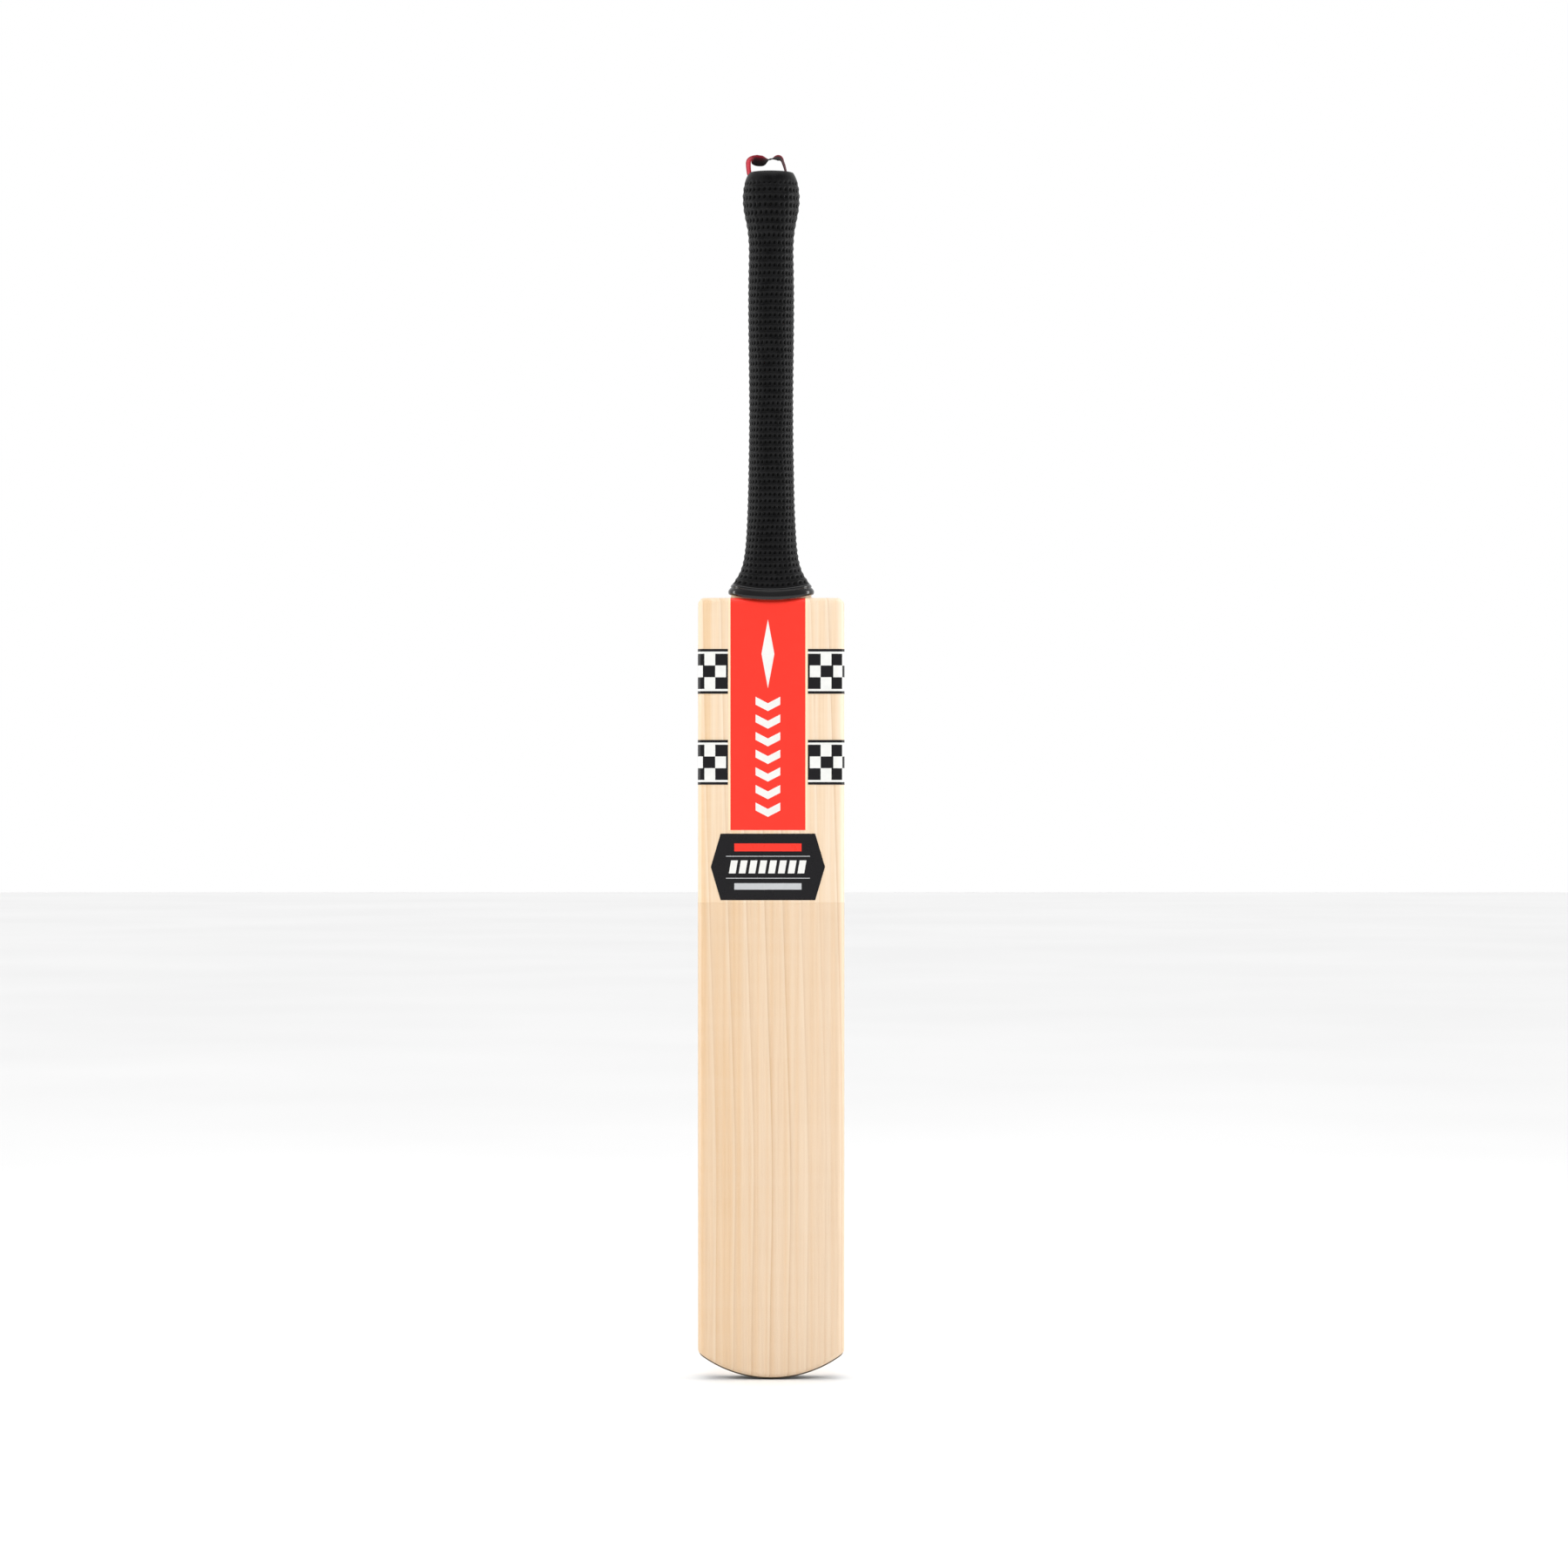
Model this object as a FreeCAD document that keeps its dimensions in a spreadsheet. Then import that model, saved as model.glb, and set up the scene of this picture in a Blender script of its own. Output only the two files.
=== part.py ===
import FreeCAD, Part
import Sketcher
import math
import os

"""Cricket bat, short handle, full size.

Heights are measured up from the bottom of the toe.  Every sub-part is modelled from there and
placed so that the origin is the middle of the grip: +Z up the handle, the hitting face towards -Y.
"""

Vector = FreeCAD.Vector

SIZES = {
    # Whole bat
    "bat_length": 864.0,
    "grip_middle": 710.0,
    # Blade outline, seen on the hitting face
    "blade_width": 104.6,
    "shoulder_height": 558.7,
    "shoulder_corner": 5.0,
    "toe_radius": 85.0,
    "toe_corner": 8.0,
    "toe_guard_thickness": 1.4,
    "face_depth": 14.0,
    "face_corner": 5.0,
    # Ridge of the back
    "ridge_softness": 0.13,
    "flank_hollow": 1.7,
    "edge_round": 4.0,
    "edge_droop": 1.2,
    # Splice: the V of cane let into the blade
    "splice_tip": 395.0,
    "splice_top": 600.0,
    "splice_half_tip": 0.8,
    "splice_half_top": 17.0,
    # Cane handle
    "cane_top": 851.0,
    "strip_half_width": 5.2,
    "spring_thickness": 1.2,
    "spring_pitch": 8.0,
    # Binding and grip
    "twine_thickness": 0.8,
    "twine_top": 848.0,
    "rim_offset": -1.3,
    "opening_half_width": 13.7,
    "opening_half_depth": 12.8,
    "opening_overlap": 0.5,
    # Collar at the foot of the grip
    "collar_foot": 557.0,
    "collar_radius": 110.0,
    "collar_height": 8.0,
    # Ribbon loop
    "ribbon_width": 8.0,
    "ribbon_thickness": 1.0,
    "ribbon_clearance": 0.2,
    # Stickers and film; the printing sits a little to the left of the blade's middle line
    "sticker_thickness": 0.25,
    "print_shift": -2.3,
    "label_half_width": 28.1,
    "label_foot": 392.6,
    "band_height": 32.0,
    "upper_band_foot": 490.0,
    "lower_band_foot": 425.0,
    "band_gap": 0.5,
    "badge_half_width": 40.8,
    "badge_height": 47.5,
    "badge_foot": 342.5,
    "badge_point": 7.0,
    "film_top": 340.8,
    "film_wrap": 5.5,
}

# Stations of the back: height, thickness of the edge, thickness at the ridge
BACK_STATIONS = {
    "toe": (-6.0, 19.0, 24.0),
    "low": (70.0, 30.0, 48.0),
    "swell": (170.0, 38.0, 62.0),
    "middle": (290.0, 36.0, 57.0),
    "upper": (420.0, 29.0, 45.0),
    "shoulder": (566.0, 19.0, 34.0),
}

# Stations of the bare handle: height, half width, half depth
STEM_STATIONS = {
    "root": (545.0, 27.0, 9.0),
    "foot": (557.0, 29.4, 12.9),
    "flare": (565.0, 27.4, 15.5),
    "cheek": (570.0, 25.0, 15.8),
    "hollow": (576.0, 20.9, 15.6),
    "neck": (587.0, 17.4, 15.1),
    "waist": (602.0, 15.7, 14.6),
    "lower": (640.0, 14.2, 14.5),
    "hand": (700.0, 13.5, 14.5),
    "upper": (790.0, 13.9, 14.8),
    "end": (851.0, 13.9, 14.8),
}

# Stations of the grip's outside: height, half width, half depth
GRIP_STATIONS = {
    "foot": (552.0, 32.4, 18.2),
    "hem": (562.0, 31.0, 18.2),
    "flare": (566.0, 29.6, 18.3),
    "cheek": (570.0, 27.3, 18.2),
    "hollow": (576.0, 23.4, 18.0),
    "neck": (587.0, 19.9, 17.6),
    "waist": (602.0, 18.2, 17.2),
    "lower": (640.0, 16.7, 17.1),
    "hand": (700.0, 16.0, 17.0),
    "upper": (795.0, 16.4, 17.3),
    "swell": (824.0, 17.4, 18.0),
    "knob": (835.0, 19.6, 19.4),
    "crown": (854.0, 19.8, 19.6),
    "brow": (860.5, 17.8, 18.0),
    "rim": (864.0, 15.8, 15.4),
}

# Route of the ribbon in the plane of the handle: across, height
RIBBON_ROUTE = (
    (-15.4, 838.0),
    (-15.4, 848.0),
    (-14.6, 858.5),
    (-16.4, 866.5),
    (-16.4, 875.4),
    (-8.8, 872.3),
    (-0.6, 873.9),
    (7.0, 875.8),
    (10.2, 867.0),
    (11.5, 858.5),
    (15.4, 848.0),
    (15.4, 838.0),
)
# Share of the shorter run beside a corner that its bend may take up
BEND_SHARE = 0.45

# Points across a section of the back, and how far a section stays open in front of the face
FLANK_STEPS = 20
FRONT_CLEARANCE = 20.0

# How closely an edge must lie to a level, to the face and to the blade's side to count as on it
ON_LEVEL = 1e-4
ON_FACE = 0.01
ON_SIDE = 1.0
BEHIND_FACE = 10.0

# Part of its radius that a sagging arc reaches to either side, and the height it climbs to there
ARC_REACH = 0.95
ARC_CLIMB = 0.5

doc = FreeCAD.newDocument("CricketBat")
sheet = doc.addObject("Spreadsheet::Sheet", "Sizes")


def write_sizes():
    """Put every driving dimension in the sheet, one named row each."""
    row = 1
    stations = {"back": BACK_STATIONS, "stem": STEM_STATIONS, "grip": GRIP_STATIONS}
    values = dict(SIZES)
    for family, table in stations.items():
        for station, (height, first, second) in table.items():
            values[f"{family}_{station}_height"] = height
            values[f"{family}_{station}_first"] = first
            values[f"{family}_{station}_second"] = second
    for name, value in values.items():
        sheet.set(f"A{row}", name)
        sheet.set(f"B{row}", str(value))
        sheet.setAlias(f"B{row}", name)
        row += 1
    doc.recompute()


write_sizes()


def size(name):
    return float(sheet.get(name))


def station_rows(family, table):
    """The three sizes of each station of a loft, read from the sheet."""
    rows = []
    for station in table:
        cells = [size(f"{family}_{station}_{column}") for column in ("height", "first", "second")]
        rows.append(cells)
    return rows


def feature(name, shape):
    thing = doc.addObject("Part::Feature", name)
    thing.Shape = shape
    return thing


# ---------------------------------------------------------------- ovals and the back

# Corners of the square round a unit circle, and the points where the circle touches its sides
TOUCHING = ((1, 0), (0, 1), (-1, 0), (0, -1))
CORNERS = ((1, 1), (-1, 1), (-1, -1), (1, -1))


def quarter_patch(span, across, quarter):
    """A quarter of an oval skin: exact quarter ellipses carried up one span of the half axes."""
    ends = (TOUCHING[quarter], TOUCHING[(quarter + 1) % 4])
    arc_poles = ((*ends[0], 1), (*CORNERS[quarter], math.sqrt(0.5)), (*ends[1], 1))
    patch = Part.BezierSurface()
    levels = span.getPoles()
    patch.increase(len(levels) - 1, len(arc_poles) - 1)
    for row, level in enumerate(levels, 1):
        for column, (x, y, weight) in enumerate(arc_poles, 1):
            patch.setPole(row, column, Vector(across + level.x * x, level.y * y, level.z), weight)
    return patch.toShape()


def level_at(edge, height):
    """True for an edge that lies flat at this height."""
    box = edge.BoundBox
    return abs(box.ZMin - height) < ON_LEVEL and abs(box.ZMax - height) < ON_LEVEL


def oval_solid(rows, growth=0.0, across=0.0):
    """A solid that is an ellipse at every level, its two half axes running smoothly up the rows."""
    profile = Part.BSplineCurve()
    profile.interpolate([Vector(wide + growth, deep + growth, height) for height, wide, deep in rows])
    faces = []
    for span in profile.toBezier():
        faces += [quarter_patch(span, across, quarter) for quarter in range(4)]
    for height in (rows[0][0], rows[-1][0]):
        rim = [edge for face in faces for edge in face.Edges if level_at(edge, height)]
        faces.append(Part.Face(Part.Wire(Part.__sortEdges__(rim))))
    shell = Part.makeShell(faces)
    shell.sewShape()
    solid = Part.Solid(shell)
    if solid.Volume < 0:
        solid.reverse()
    return solid


def back_wire(height, edge, ridge, growth):
    """Level section through the blank: open in front of the face, hollow flanks up to the ridge."""
    half = size("blade_width") / 2
    edge_round = size("edge_round")
    droop = size("edge_droop")
    reach = half + edge_round
    front = -size("face_depth")
    soft = size("ridge_softness")
    points = []
    for step in range(FLANK_STEPS + 1):
        x = reach * (1 - 2 * step / FLANK_STEPS)
        share = abs(x) / half
        rounded = (math.hypot(share, soft) - soft) / (math.hypot(1, soft) - soft)
        climb = max(0.0, 1 - rounded) ** size("flank_hollow")
        over = max(0.0, abs(x) - (half - edge_round))
        drop = droop * over * over / (2 * edge_round)
        points.append(Vector(x, front + edge + (ridge - edge) * climb - drop + growth, height))
    flank = Part.BSplineCurve()
    flank.interpolate(points)
    ahead = front - FRONT_CLEARANCE
    right = Vector(reach, ahead, height)
    left = Vector(-reach, ahead, height)
    edges = [
        flank.toShape(),
        Part.makeLine(points[-1], left),
        Part.makeLine(left, right),
        Part.makeLine(right, points[0]),
    ]
    return Part.Wire(edges)


def back_loft(growth):
    rows = station_rows("back", BACK_STATIONS)
    sections = [back_wire(height, edge, ridge, growth) for height, edge, ridge in rows]
    return Part.makeLoft(sections, True, False)


# ---------------------------------------------------------------- sketched bodies


def front_plane_sketch(body, name):
    """A sketch on the body's XZ plane: sketch x across the bat, sketch y up it."""
    sketch = body.newObject("Sketcher::SketchObject", name)
    plane = [item for item in body.Origin.OriginFeatures if item.Role == "XZ_Plane"][0]
    sketch.AttachmentSupport = [(plane, "")]
    sketch.MapMode = "FlatFace"
    return sketch


def constrain(sketch, shape_rules, sized_rules):
    """Add the plain constraints, then the named ones that follow the sheet."""
    for rule in shape_rules:
        sketch.addConstraint(rule)
    for label, rule, expression in sized_rules:
        index = sketch.addConstraint(rule)
        sketch.renameConstraint(index, label)
        sketch.setExpression(f"Constraints.{label}", expression)


def pad_through(body, name, sketch):
    """Pad a sketch equally both ways, right through the bat."""
    pad = body.newObject("PartDesign::Pad", name)
    pad.Profile = sketch
    pad.Midplane = True
    pad.setExpression("Length", "4 * Sizes.blade_width")
    doc.recompute()


def outline_body(name, growth):
    """Blank with the blade's outline: straight sides, flat shoulders, round toe, soft face edge.

    growth is an expression: how far this blank stands proud of the bare wood all round.
    """
    body = doc.addObject("PartDesign::Body", name)
    sketch = front_plane_sketch(body, name + "_outline")
    half = size("blade_width") / 2
    top = size("shoulder_height")
    radius = size("toe_radius")
    turn = math.asin(half / radius)
    low = radius - radius * math.cos(turn)
    corners = [Vector(half, low, 0), Vector(half, top, 0), Vector(-half, top, 0), Vector(-half, low, 0)]
    for start, end in zip(corners, corners[1:]):
        sketch.addGeometry(Part.LineSegment(start, end), False)
    circle = Part.Circle(Vector(0, radius, 0), Vector(0, 0, 1), radius)
    down = 1.5 * math.pi
    sketch.addGeometry(Part.ArcOfCircle(circle, down - turn, down + turn), False)
    rule = Sketcher.Constraint
    shape_rules = (
        rule("Coincident", 0, 2, 1, 1),
        rule("Coincident", 1, 2, 2, 1),
        rule("Coincident", 2, 2, 3, 1),
        rule("Coincident", 3, 2, 0, 1),
        rule("Vertical", 0),
        rule("Vertical", 2),
        rule("Symmetric", 0, 2, 1, 2, -2),
        rule("PointOnObject", 3, 3, -2),
    )
    sized_rules = (
        ("width", rule("DistanceX", 1, 2, 1, 1, 2 * half), f"Sizes.blade_width + 2 * {growth}"),
        ("top", rule("DistanceY", -1, 1, 0, 2, top), "Sizes.shoulder_height"),
        ("toe", rule("Radius", 3, radius), f"Sizes.toe_radius + {growth}"),
        ("centre", rule("DistanceY", -1, 1, 3, 3, radius), "Sizes.toe_radius"),
    )
    constrain(sketch, shape_rules, sized_rules)
    pad_through(body, name + "_pad", sketch)
    return body


def rounded(name, base, choose):
    """Round the edges for which choose gives a radius, told the middle point of each edge."""
    doc.recompute()
    fillet = doc.addObject("Part::Fillet", name)
    fillet.Base = base
    chosen = []
    for number, edge in enumerate(base.Shape.Edges, 1):
        first, last = edge.ParameterRange
        radius = choose(edge.valueAt((first + last) / 2))
        if radius:
            chosen.append((number, radius, radius))
    fillet.Edges = chosen
    doc.recompute()
    return fillet


def shaped_blank(name, growth_cell=None):
    """The blade's full form: the outline blank, faced off in front and hollowed behind."""
    growth = f"Sizes.{growth_cell}" if growth_cell else "0"
    amount = size(growth_cell) if growth_cell else 0.0
    face_at = -size("face_depth") - amount
    half = size("blade_width") / 2
    top = size("shoulder_height")

    blank = outline_body(name + "_blank", growth)
    face_plane = f"-Sizes.face_depth - {growth}"
    behind_face = block(name + "_depth", f"-{FAR}", FAR, face_plane, FAR, f"-{FAR}", FAR)
    faced = common(name + "_faced", blank, behind_face)

    def on_side(middle):
        return abs(abs(middle.x) - half) < ON_SIDE and middle.y > face_at + BEHIND_FACE

    def toe_corner(middle):
        return size("toe_corner") if on_side(middle) and middle.z < top / 2 else None

    def shoulder_corner(middle):
        return size("shoulder_corner") if on_side(middle) and middle.z > top - ON_SIDE else None

    def face_edge(middle):
        on_face = abs(middle.y - face_at) < ON_FACE and middle.z < top - ON_SIDE
        return size("face_corner") + amount if on_face else None

    toe_rounded = rounded(name + "_toe", faced, toe_corner)
    face_rounded = rounded(name + "_face", toe_rounded, face_edge)
    shoulder_rounded = rounded(name + "_shoulder", face_rounded, shoulder_corner)
    back = feature(name + "_back", back_loft(amount))
    return common(name, shoulder_rounded, back)


def splice_body():
    """The V that runs down into the blade, widening up to the waist, then the whole handle."""
    body = doc.addObject("PartDesign::Body", "splice_form")
    sketch = front_plane_sketch(body, "splice_outline")
    tip = size("splice_tip")
    top = size("splice_top")
    end = size("cane_top")
    narrow = size("splice_half_tip")
    wide = size("splice_half_top")
    reach = 2 * wide
    outline = [
        Vector(-narrow, tip, 0),
        Vector(narrow, tip, 0),
        Vector(wide, top, 0),
        Vector(reach, top, 0),
        Vector(reach, end, 0),
        Vector(-reach, end, 0),
        Vector(-reach, top, 0),
        Vector(-wide, top, 0),
    ]
    count = len(outline)
    rule = Sketcher.Constraint
    for index in range(count):
        sketch.addGeometry(Part.LineSegment(outline[index], outline[(index + 1) % count]), False)
    shape_rules = [rule("Coincident", index, 2, (index + 1) % count, 1) for index in range(count)]
    shape_rules += [rule("Horizontal", index) for index in (2, 6)]
    shape_rules += [rule("Vertical", index) for index in (3, 5)]
    shape_rules += [
        rule("Symmetric", 0, 1, 0, 2, -2),
        rule("Symmetric", 1, 2, 6, 2, -2),
        rule("Symmetric", 4, 1, 4, 2, -2),
    ]
    sized_rules = (
        ("tip_width", rule("DistanceX", 0, 1, 0, 2, 2 * narrow), "2 * Sizes.splice_half_tip"),
        ("top_width", rule("DistanceX", 6, 2, 1, 2, 2 * wide), "2 * Sizes.splice_half_top"),
        ("reach", rule("DistanceX", 4, 2, 4, 1, 2 * reach), "4 * Sizes.splice_half_top"),
        ("tip", rule("DistanceY", -1, 1, 0, 2, tip), "Sizes.splice_tip"),
        ("top", rule("DistanceY", -1, 1, 1, 2, top), "Sizes.splice_top"),
        ("end", rule("DistanceY", -1, 1, 3, 2, end), "Sizes.cane_top"),
    )
    constrain(sketch, shape_rules, sized_rules)
    pad_through(body, "splice_pad", sketch)
    return body


# ---------------------------------------------------------------- booleans and blocks

FAR = "Sizes.bat_length"


def common(name, base, tool):
    thing = doc.addObject("Part::Common", name)
    thing.Base = base
    thing.Tool = tool
    return thing


def cut(name, base, tool):
    thing = doc.addObject("Part::Cut", name)
    thing.Base = base
    thing.Tool = tool
    return thing


def fuse(name, base, tool):
    thing = doc.addObject("Part::Fuse", name)
    thing.Base = base
    thing.Tool = tool
    return thing


def block(name, left, right, front, back, foot, top):
    """A square block between six planes, each an expression on the sheet."""
    box = doc.addObject("Part::Box", name)
    box.setExpression("Length", f"({right}) - ({left})")
    box.setExpression("Width", f"({back}) - ({front})")
    box.setExpression("Height", f"({top}) - ({foot})")
    box.setExpression("Placement.Base.x", left)
    box.setExpression("Placement.Base.y", front)
    box.setExpression("Placement.Base.z", foot)
    return box


def cross_cylinder(name, radius, foot):
    """A level cylinder running from front to back, its lowest line at the height foot."""
    cylinder = doc.addObject("Part::Cylinder", name)
    cylinder.Placement = FreeCAD.Placement(Vector(0, 0, 0), FreeCAD.Rotation(Vector(1, 0, 0), -90))
    cylinder.setExpression("Radius", radius)
    cylinder.setExpression("Height", f"2 * {FAR}")
    cylinder.setExpression("Placement.Base.y", f"-{FAR}")
    cylinder.setExpression("Placement.Base.z", f"{foot} + {radius}")
    return cylinder


def below_arc(name, radius, foot):
    """All the space under a sagging arc of this radius, whose lowest point is at the height foot."""
    disc = cross_cylinder(name + "_disc", radius, foot)
    side = f"{radius} * {ARC_REACH}"
    top = f"{foot} + {radius} * {ARC_CLIMB}"
    slab = block(name + "_slab", f"-{side}", side, f"-{FAR}", FAR, f"-{FAR}", top)
    return cut(name, slab, disc)


# ---------------------------------------------------------------- whole forms

stem_rows = station_rows("stem", STEM_STATIONS)
grip_rows = station_rows("grip", GRIP_STATIONS)

blade_form = shaped_blank("blade_form")
sticker_form = shaped_blank("sticker_form", "sticker_thickness")
stem_form = feature("stem_form", oval_solid(stem_rows))
wrapped_form = feature("wrapped_form", oval_solid(stem_rows, size("twine_thickness")))
wood_form = fuse("wood_form", blade_form, stem_form)
covered_form = fuse("covered_form", sticker_form, stem_form)
splice_form = splice_body()
below_collar = below_arc("below_collar", "Sizes.collar_radius", "Sizes.collar_foot")
below_grip = below_arc("below_grip", "Sizes.collar_radius", "Sizes.collar_foot + Sizes.collar_height")
sticker_skin = cut("sticker_skin", sticker_form, blade_form)
doc.recompute()

subparts = []


def subpart(thing, label):
    """Name a finished sub-part and stand it in the bat's frame."""
    thing.Label = label
    thing.setExpression("Placement.Base.z", "-Sizes.grip_middle")
    subparts.append(thing)
    return thing


# ---------------------------------------------------------------- willow blade and toe guard

toe_zone = below_arc("toe_zone", "Sizes.toe_radius", "Sizes.toe_guard_thickness")
subpart(common("toe_guard_piece", blade_form, toe_zone), "toe_guard")
wood_above_toe = cut("wood_above_toe", wood_form, toe_zone)
subpart(cut("blade_piece", wood_above_toe, splice_form), "blade")

# ---------------------------------------------------------------- cane handle

cane_form = common("cane_form", wood_form, splice_form)
half_spring = "Sizes.spring_thickness / 2"
pitch = "Sizes.spring_pitch"
LAYERS = {
    "front": (f"-{FAR}", f"-{pitch} - {half_spring}"),
    "inner_front": (f"-{pitch} + {half_spring}", f"-{half_spring}"),
    "inner_back": (half_spring, f"{pitch} - {half_spring}"),
    "back": (f"{pitch} + {half_spring}", FAR),
}
COLUMNS = {
    "left": (f"-{FAR}", "-Sizes.strip_half_width"),
    "middle": ("-Sizes.strip_half_width", "Sizes.strip_half_width"),
    "right": ("Sizes.strip_half_width", FAR),
}
for layer, (layer_front, layer_back) in LAYERS.items():
    for column, (left, right) in COLUMNS.items():
        name = f"cane_{layer}_{column}"
        slab = block(name + "_slab", left, right, layer_front, layer_back, f"-{FAR}", FAR)
        subpart(common(name + "_piece", cane_form, slab), name)

SPRINGS = {"front": f"-{pitch}", "middle": "0", "back": pitch}
for spring, depth in SPRINGS.items():
    name = f"rubber_spring_{spring}"
    near = f"{depth} - {half_spring}"
    away = f"{depth} + {half_spring}"
    slab = block(name + "_slab", f"-{FAR}", FAR, near, away, f"-{FAR}", FAR)
    subpart(common(name + "_piece", cane_form, slab), name)

# ---------------------------------------------------------------- twine, grip and collar

above_collar = block("above_collar", f"-{FAR}", FAR, f"-{FAR}", FAR, "Sizes.collar_foot", "Sizes.twine_top")
twine_tube = cut("twine_tube", wrapped_form, wood_form)
twine_span = common("twine_span", twine_tube, above_collar)
twine_clear = cut("twine_clear", twine_span, covered_form)
subpart(cut("twine_piece", twine_clear, below_grip), "twine_binding")


def ribbon_path():
    """The ribbon's middle line: straight runs joined by tangent arcs, each as large as its runs allow."""
    points = [Vector(across, 0, height) for across, height in RIBBON_ROUTE]
    edges = []
    start = points[0]
    for before, corner, after in zip(points, points[1:], points[2:]):
        come = corner - before
        leave = after - corner
        turn = come.getAngle(leave)
        radius = BEND_SHARE * min(come.Length, leave.Length) / math.tan(turn / 2)
        print(f"ribbon bend at {corner.x:.1f}, {corner.z:.1f}: radius {radius:.1f}")
        come.normalize()
        leave.normalize()
        trim = radius * math.tan(turn / 2)
        arc_start = corner - come * trim
        arc_end = corner + leave * trim
        inward = (leave - come).normalize()
        centre = corner + inward * (radius / math.cos(turn / 2))
        edges.append(Part.makeLine(start, arc_start))
        edges.append(Part.Arc(arc_start, centre - inward * radius, arc_end).toShape())
        start = arc_end
    edges.append(Part.makeLine(start, points[-1]))
    return Part.Wire(edges)


def ribbon_solid(path, thickness, width):
    """A flat ribbon on its edge along the path, its width running from front to back."""
    sides = []
    for side in (-thickness / 2, thickness / 2):
        sides.append(path.makeOffset2D(side, 0, False, True))
    near, far = sides
    ends = [Part.makeLine(near.OrderedVertexes[i].Point, far.OrderedVertexes[i].Point) for i in (0, -1)]
    loop = Part.Wire(Part.__sortEdges__(near.Edges + far.Edges + ends))
    face = Part.Face(loop)
    face.translate(Vector(0, -width / 2, 0))
    return face.extrude(Vector(0, width, 0))


path = ribbon_path()
thickness = size("ribbon_thickness")
width = size("ribbon_width")
ribbon = feature("ribbon", ribbon_solid(path, thickness, width))
expected = thickness * width * path.Length
print(f"ribbon length {path.Length:.1f}, volume {ribbon.Shape.Volume:.1f} of {expected:.1f}")
subpart(ribbon, "hang_loop")
gap = 2 * size("ribbon_clearance")
ribbon_groove = feature("ribbon_groove", ribbon_solid(path, thickness + gap, width + gap))

overlap = size("opening_overlap")
opening_rows = [
    (size("cane_top") - overlap, size("opening_half_width"), size("opening_half_depth")),
    (size("bat_length") + overlap, size("opening_half_width"), size("opening_half_depth")),
]
opening = feature("opening", oval_solid(opening_rows, 0, size("rim_offset")))
grip_form = feature("grip_form", oval_solid(grip_rows))
grip_hollow = cut("grip_hollow", grip_form, wrapped_form)
grip_open = cut("grip_open", grip_hollow, opening)
grip_grooved = cut("grip_grooved", grip_open, ribbon_groove)
subpart(cut("grip_piece", grip_grooved, below_grip), "grip")

collar_body = cut("collar_body", grip_form, wrapped_form)
collar_clear = cut("collar_clear", collar_body, covered_form)
collar_low = common("collar_low", collar_clear, below_grip)
subpart(cut("collar_piece", collar_low, below_collar), "grip_collar")

# ---------------------------------------------------------------- film and stickers

film_back = "-Sizes.face_depth + Sizes.film_wrap"
film_zone = block("film_zone", f"-{FAR}", FAR, f"-{FAR}", film_back, f"-{FAR}", "Sizes.film_top")
film_whole = common("film_whole", sticker_skin, film_zone)
subpart(cut("film_piece", film_whole, toe_zone), "face_film")

label_zone = block(
    "label_zone",
    "Sizes.print_shift - Sizes.label_half_width",
    "Sizes.print_shift + Sizes.label_half_width",
    f"-{FAR}",
    "0",
    "Sizes.label_foot",
    "Sizes.shoulder_height",
)
subpart(common("label_piece", sticker_skin, label_zone), "front_label")

inner_side = "Sizes.label_half_width + Sizes.band_gap"
SIDES = {
    "left": (f"-{FAR}", f"Sizes.print_shift - ({inner_side})"),
    "right": (f"Sizes.print_shift + {inner_side}", FAR),
}
for level in ("upper", "lower"):
    foot = f"Sizes.{level}_band_foot"
    for side, (left, right) in SIDES.items():
        name = f"band_{level}_{side}"
        zone = block(name + "_zone", left, right, f"-{FAR}", FAR, foot, f"{foot} + Sizes.band_height")
        subpart(common(name + "_piece", sticker_skin, zone), name)


def badge_body():
    """A long six-sided sticker with pointed ends, drawn round its own middle line."""
    body = doc.addObject("PartDesign::Body", "badge_form")
    sketch = front_plane_sketch(body, "badge_outline")
    half = size("badge_half_width")
    point = size("badge_point")
    foot = size("badge_foot")
    top = foot + size("badge_height")
    middle = (foot + top) / 2
    outline = [
        Vector(-half, middle, 0),
        Vector(-half + point, foot, 0),
        Vector(half - point, foot, 0),
        Vector(half, middle, 0),
        Vector(half - point, top, 0),
        Vector(-half + point, top, 0),
    ]
    rule = Sketcher.Constraint
    count = len(outline)
    for index in range(count):
        sketch.addGeometry(Part.LineSegment(outline[index], outline[(index + 1) % count]), False)
    shape_rules = [rule("Coincident", index, 2, (index + 1) % count, 1) for index in range(count)]
    shape_rules += [
        rule("Symmetric", 1, 1, 1, 2, -2),
        rule("Symmetric", 4, 1, 4, 2, -2),
        rule("Symmetric", 0, 1, 3, 1, -2),
        rule("Equal", 0, 5),
    ]
    flat = "2 * (Sizes.badge_half_width - Sizes.badge_point)"
    sized_rules = (
        ("width", rule("DistanceX", 0, 1, 3, 1, 2 * half), "2 * Sizes.badge_half_width"),
        ("foot_width", rule("DistanceX", 1, 1, 1, 2, 2 * (half - point)), flat),
        ("top_width", rule("DistanceX", 4, 2, 4, 1, 2 * (half - point)), flat),
        ("foot", rule("DistanceY", -1, 1, 1, 1, foot), "Sizes.badge_foot"),
        ("top", rule("DistanceY", 1, 1, 4, 2, top - foot), "Sizes.badge_height"),
    )
    constrain(sketch, shape_rules, sized_rules)
    pad_through(body, "badge_pad", sketch)
    body.setExpression("Placement.Base.x", "Sizes.print_shift")
    return body


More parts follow.
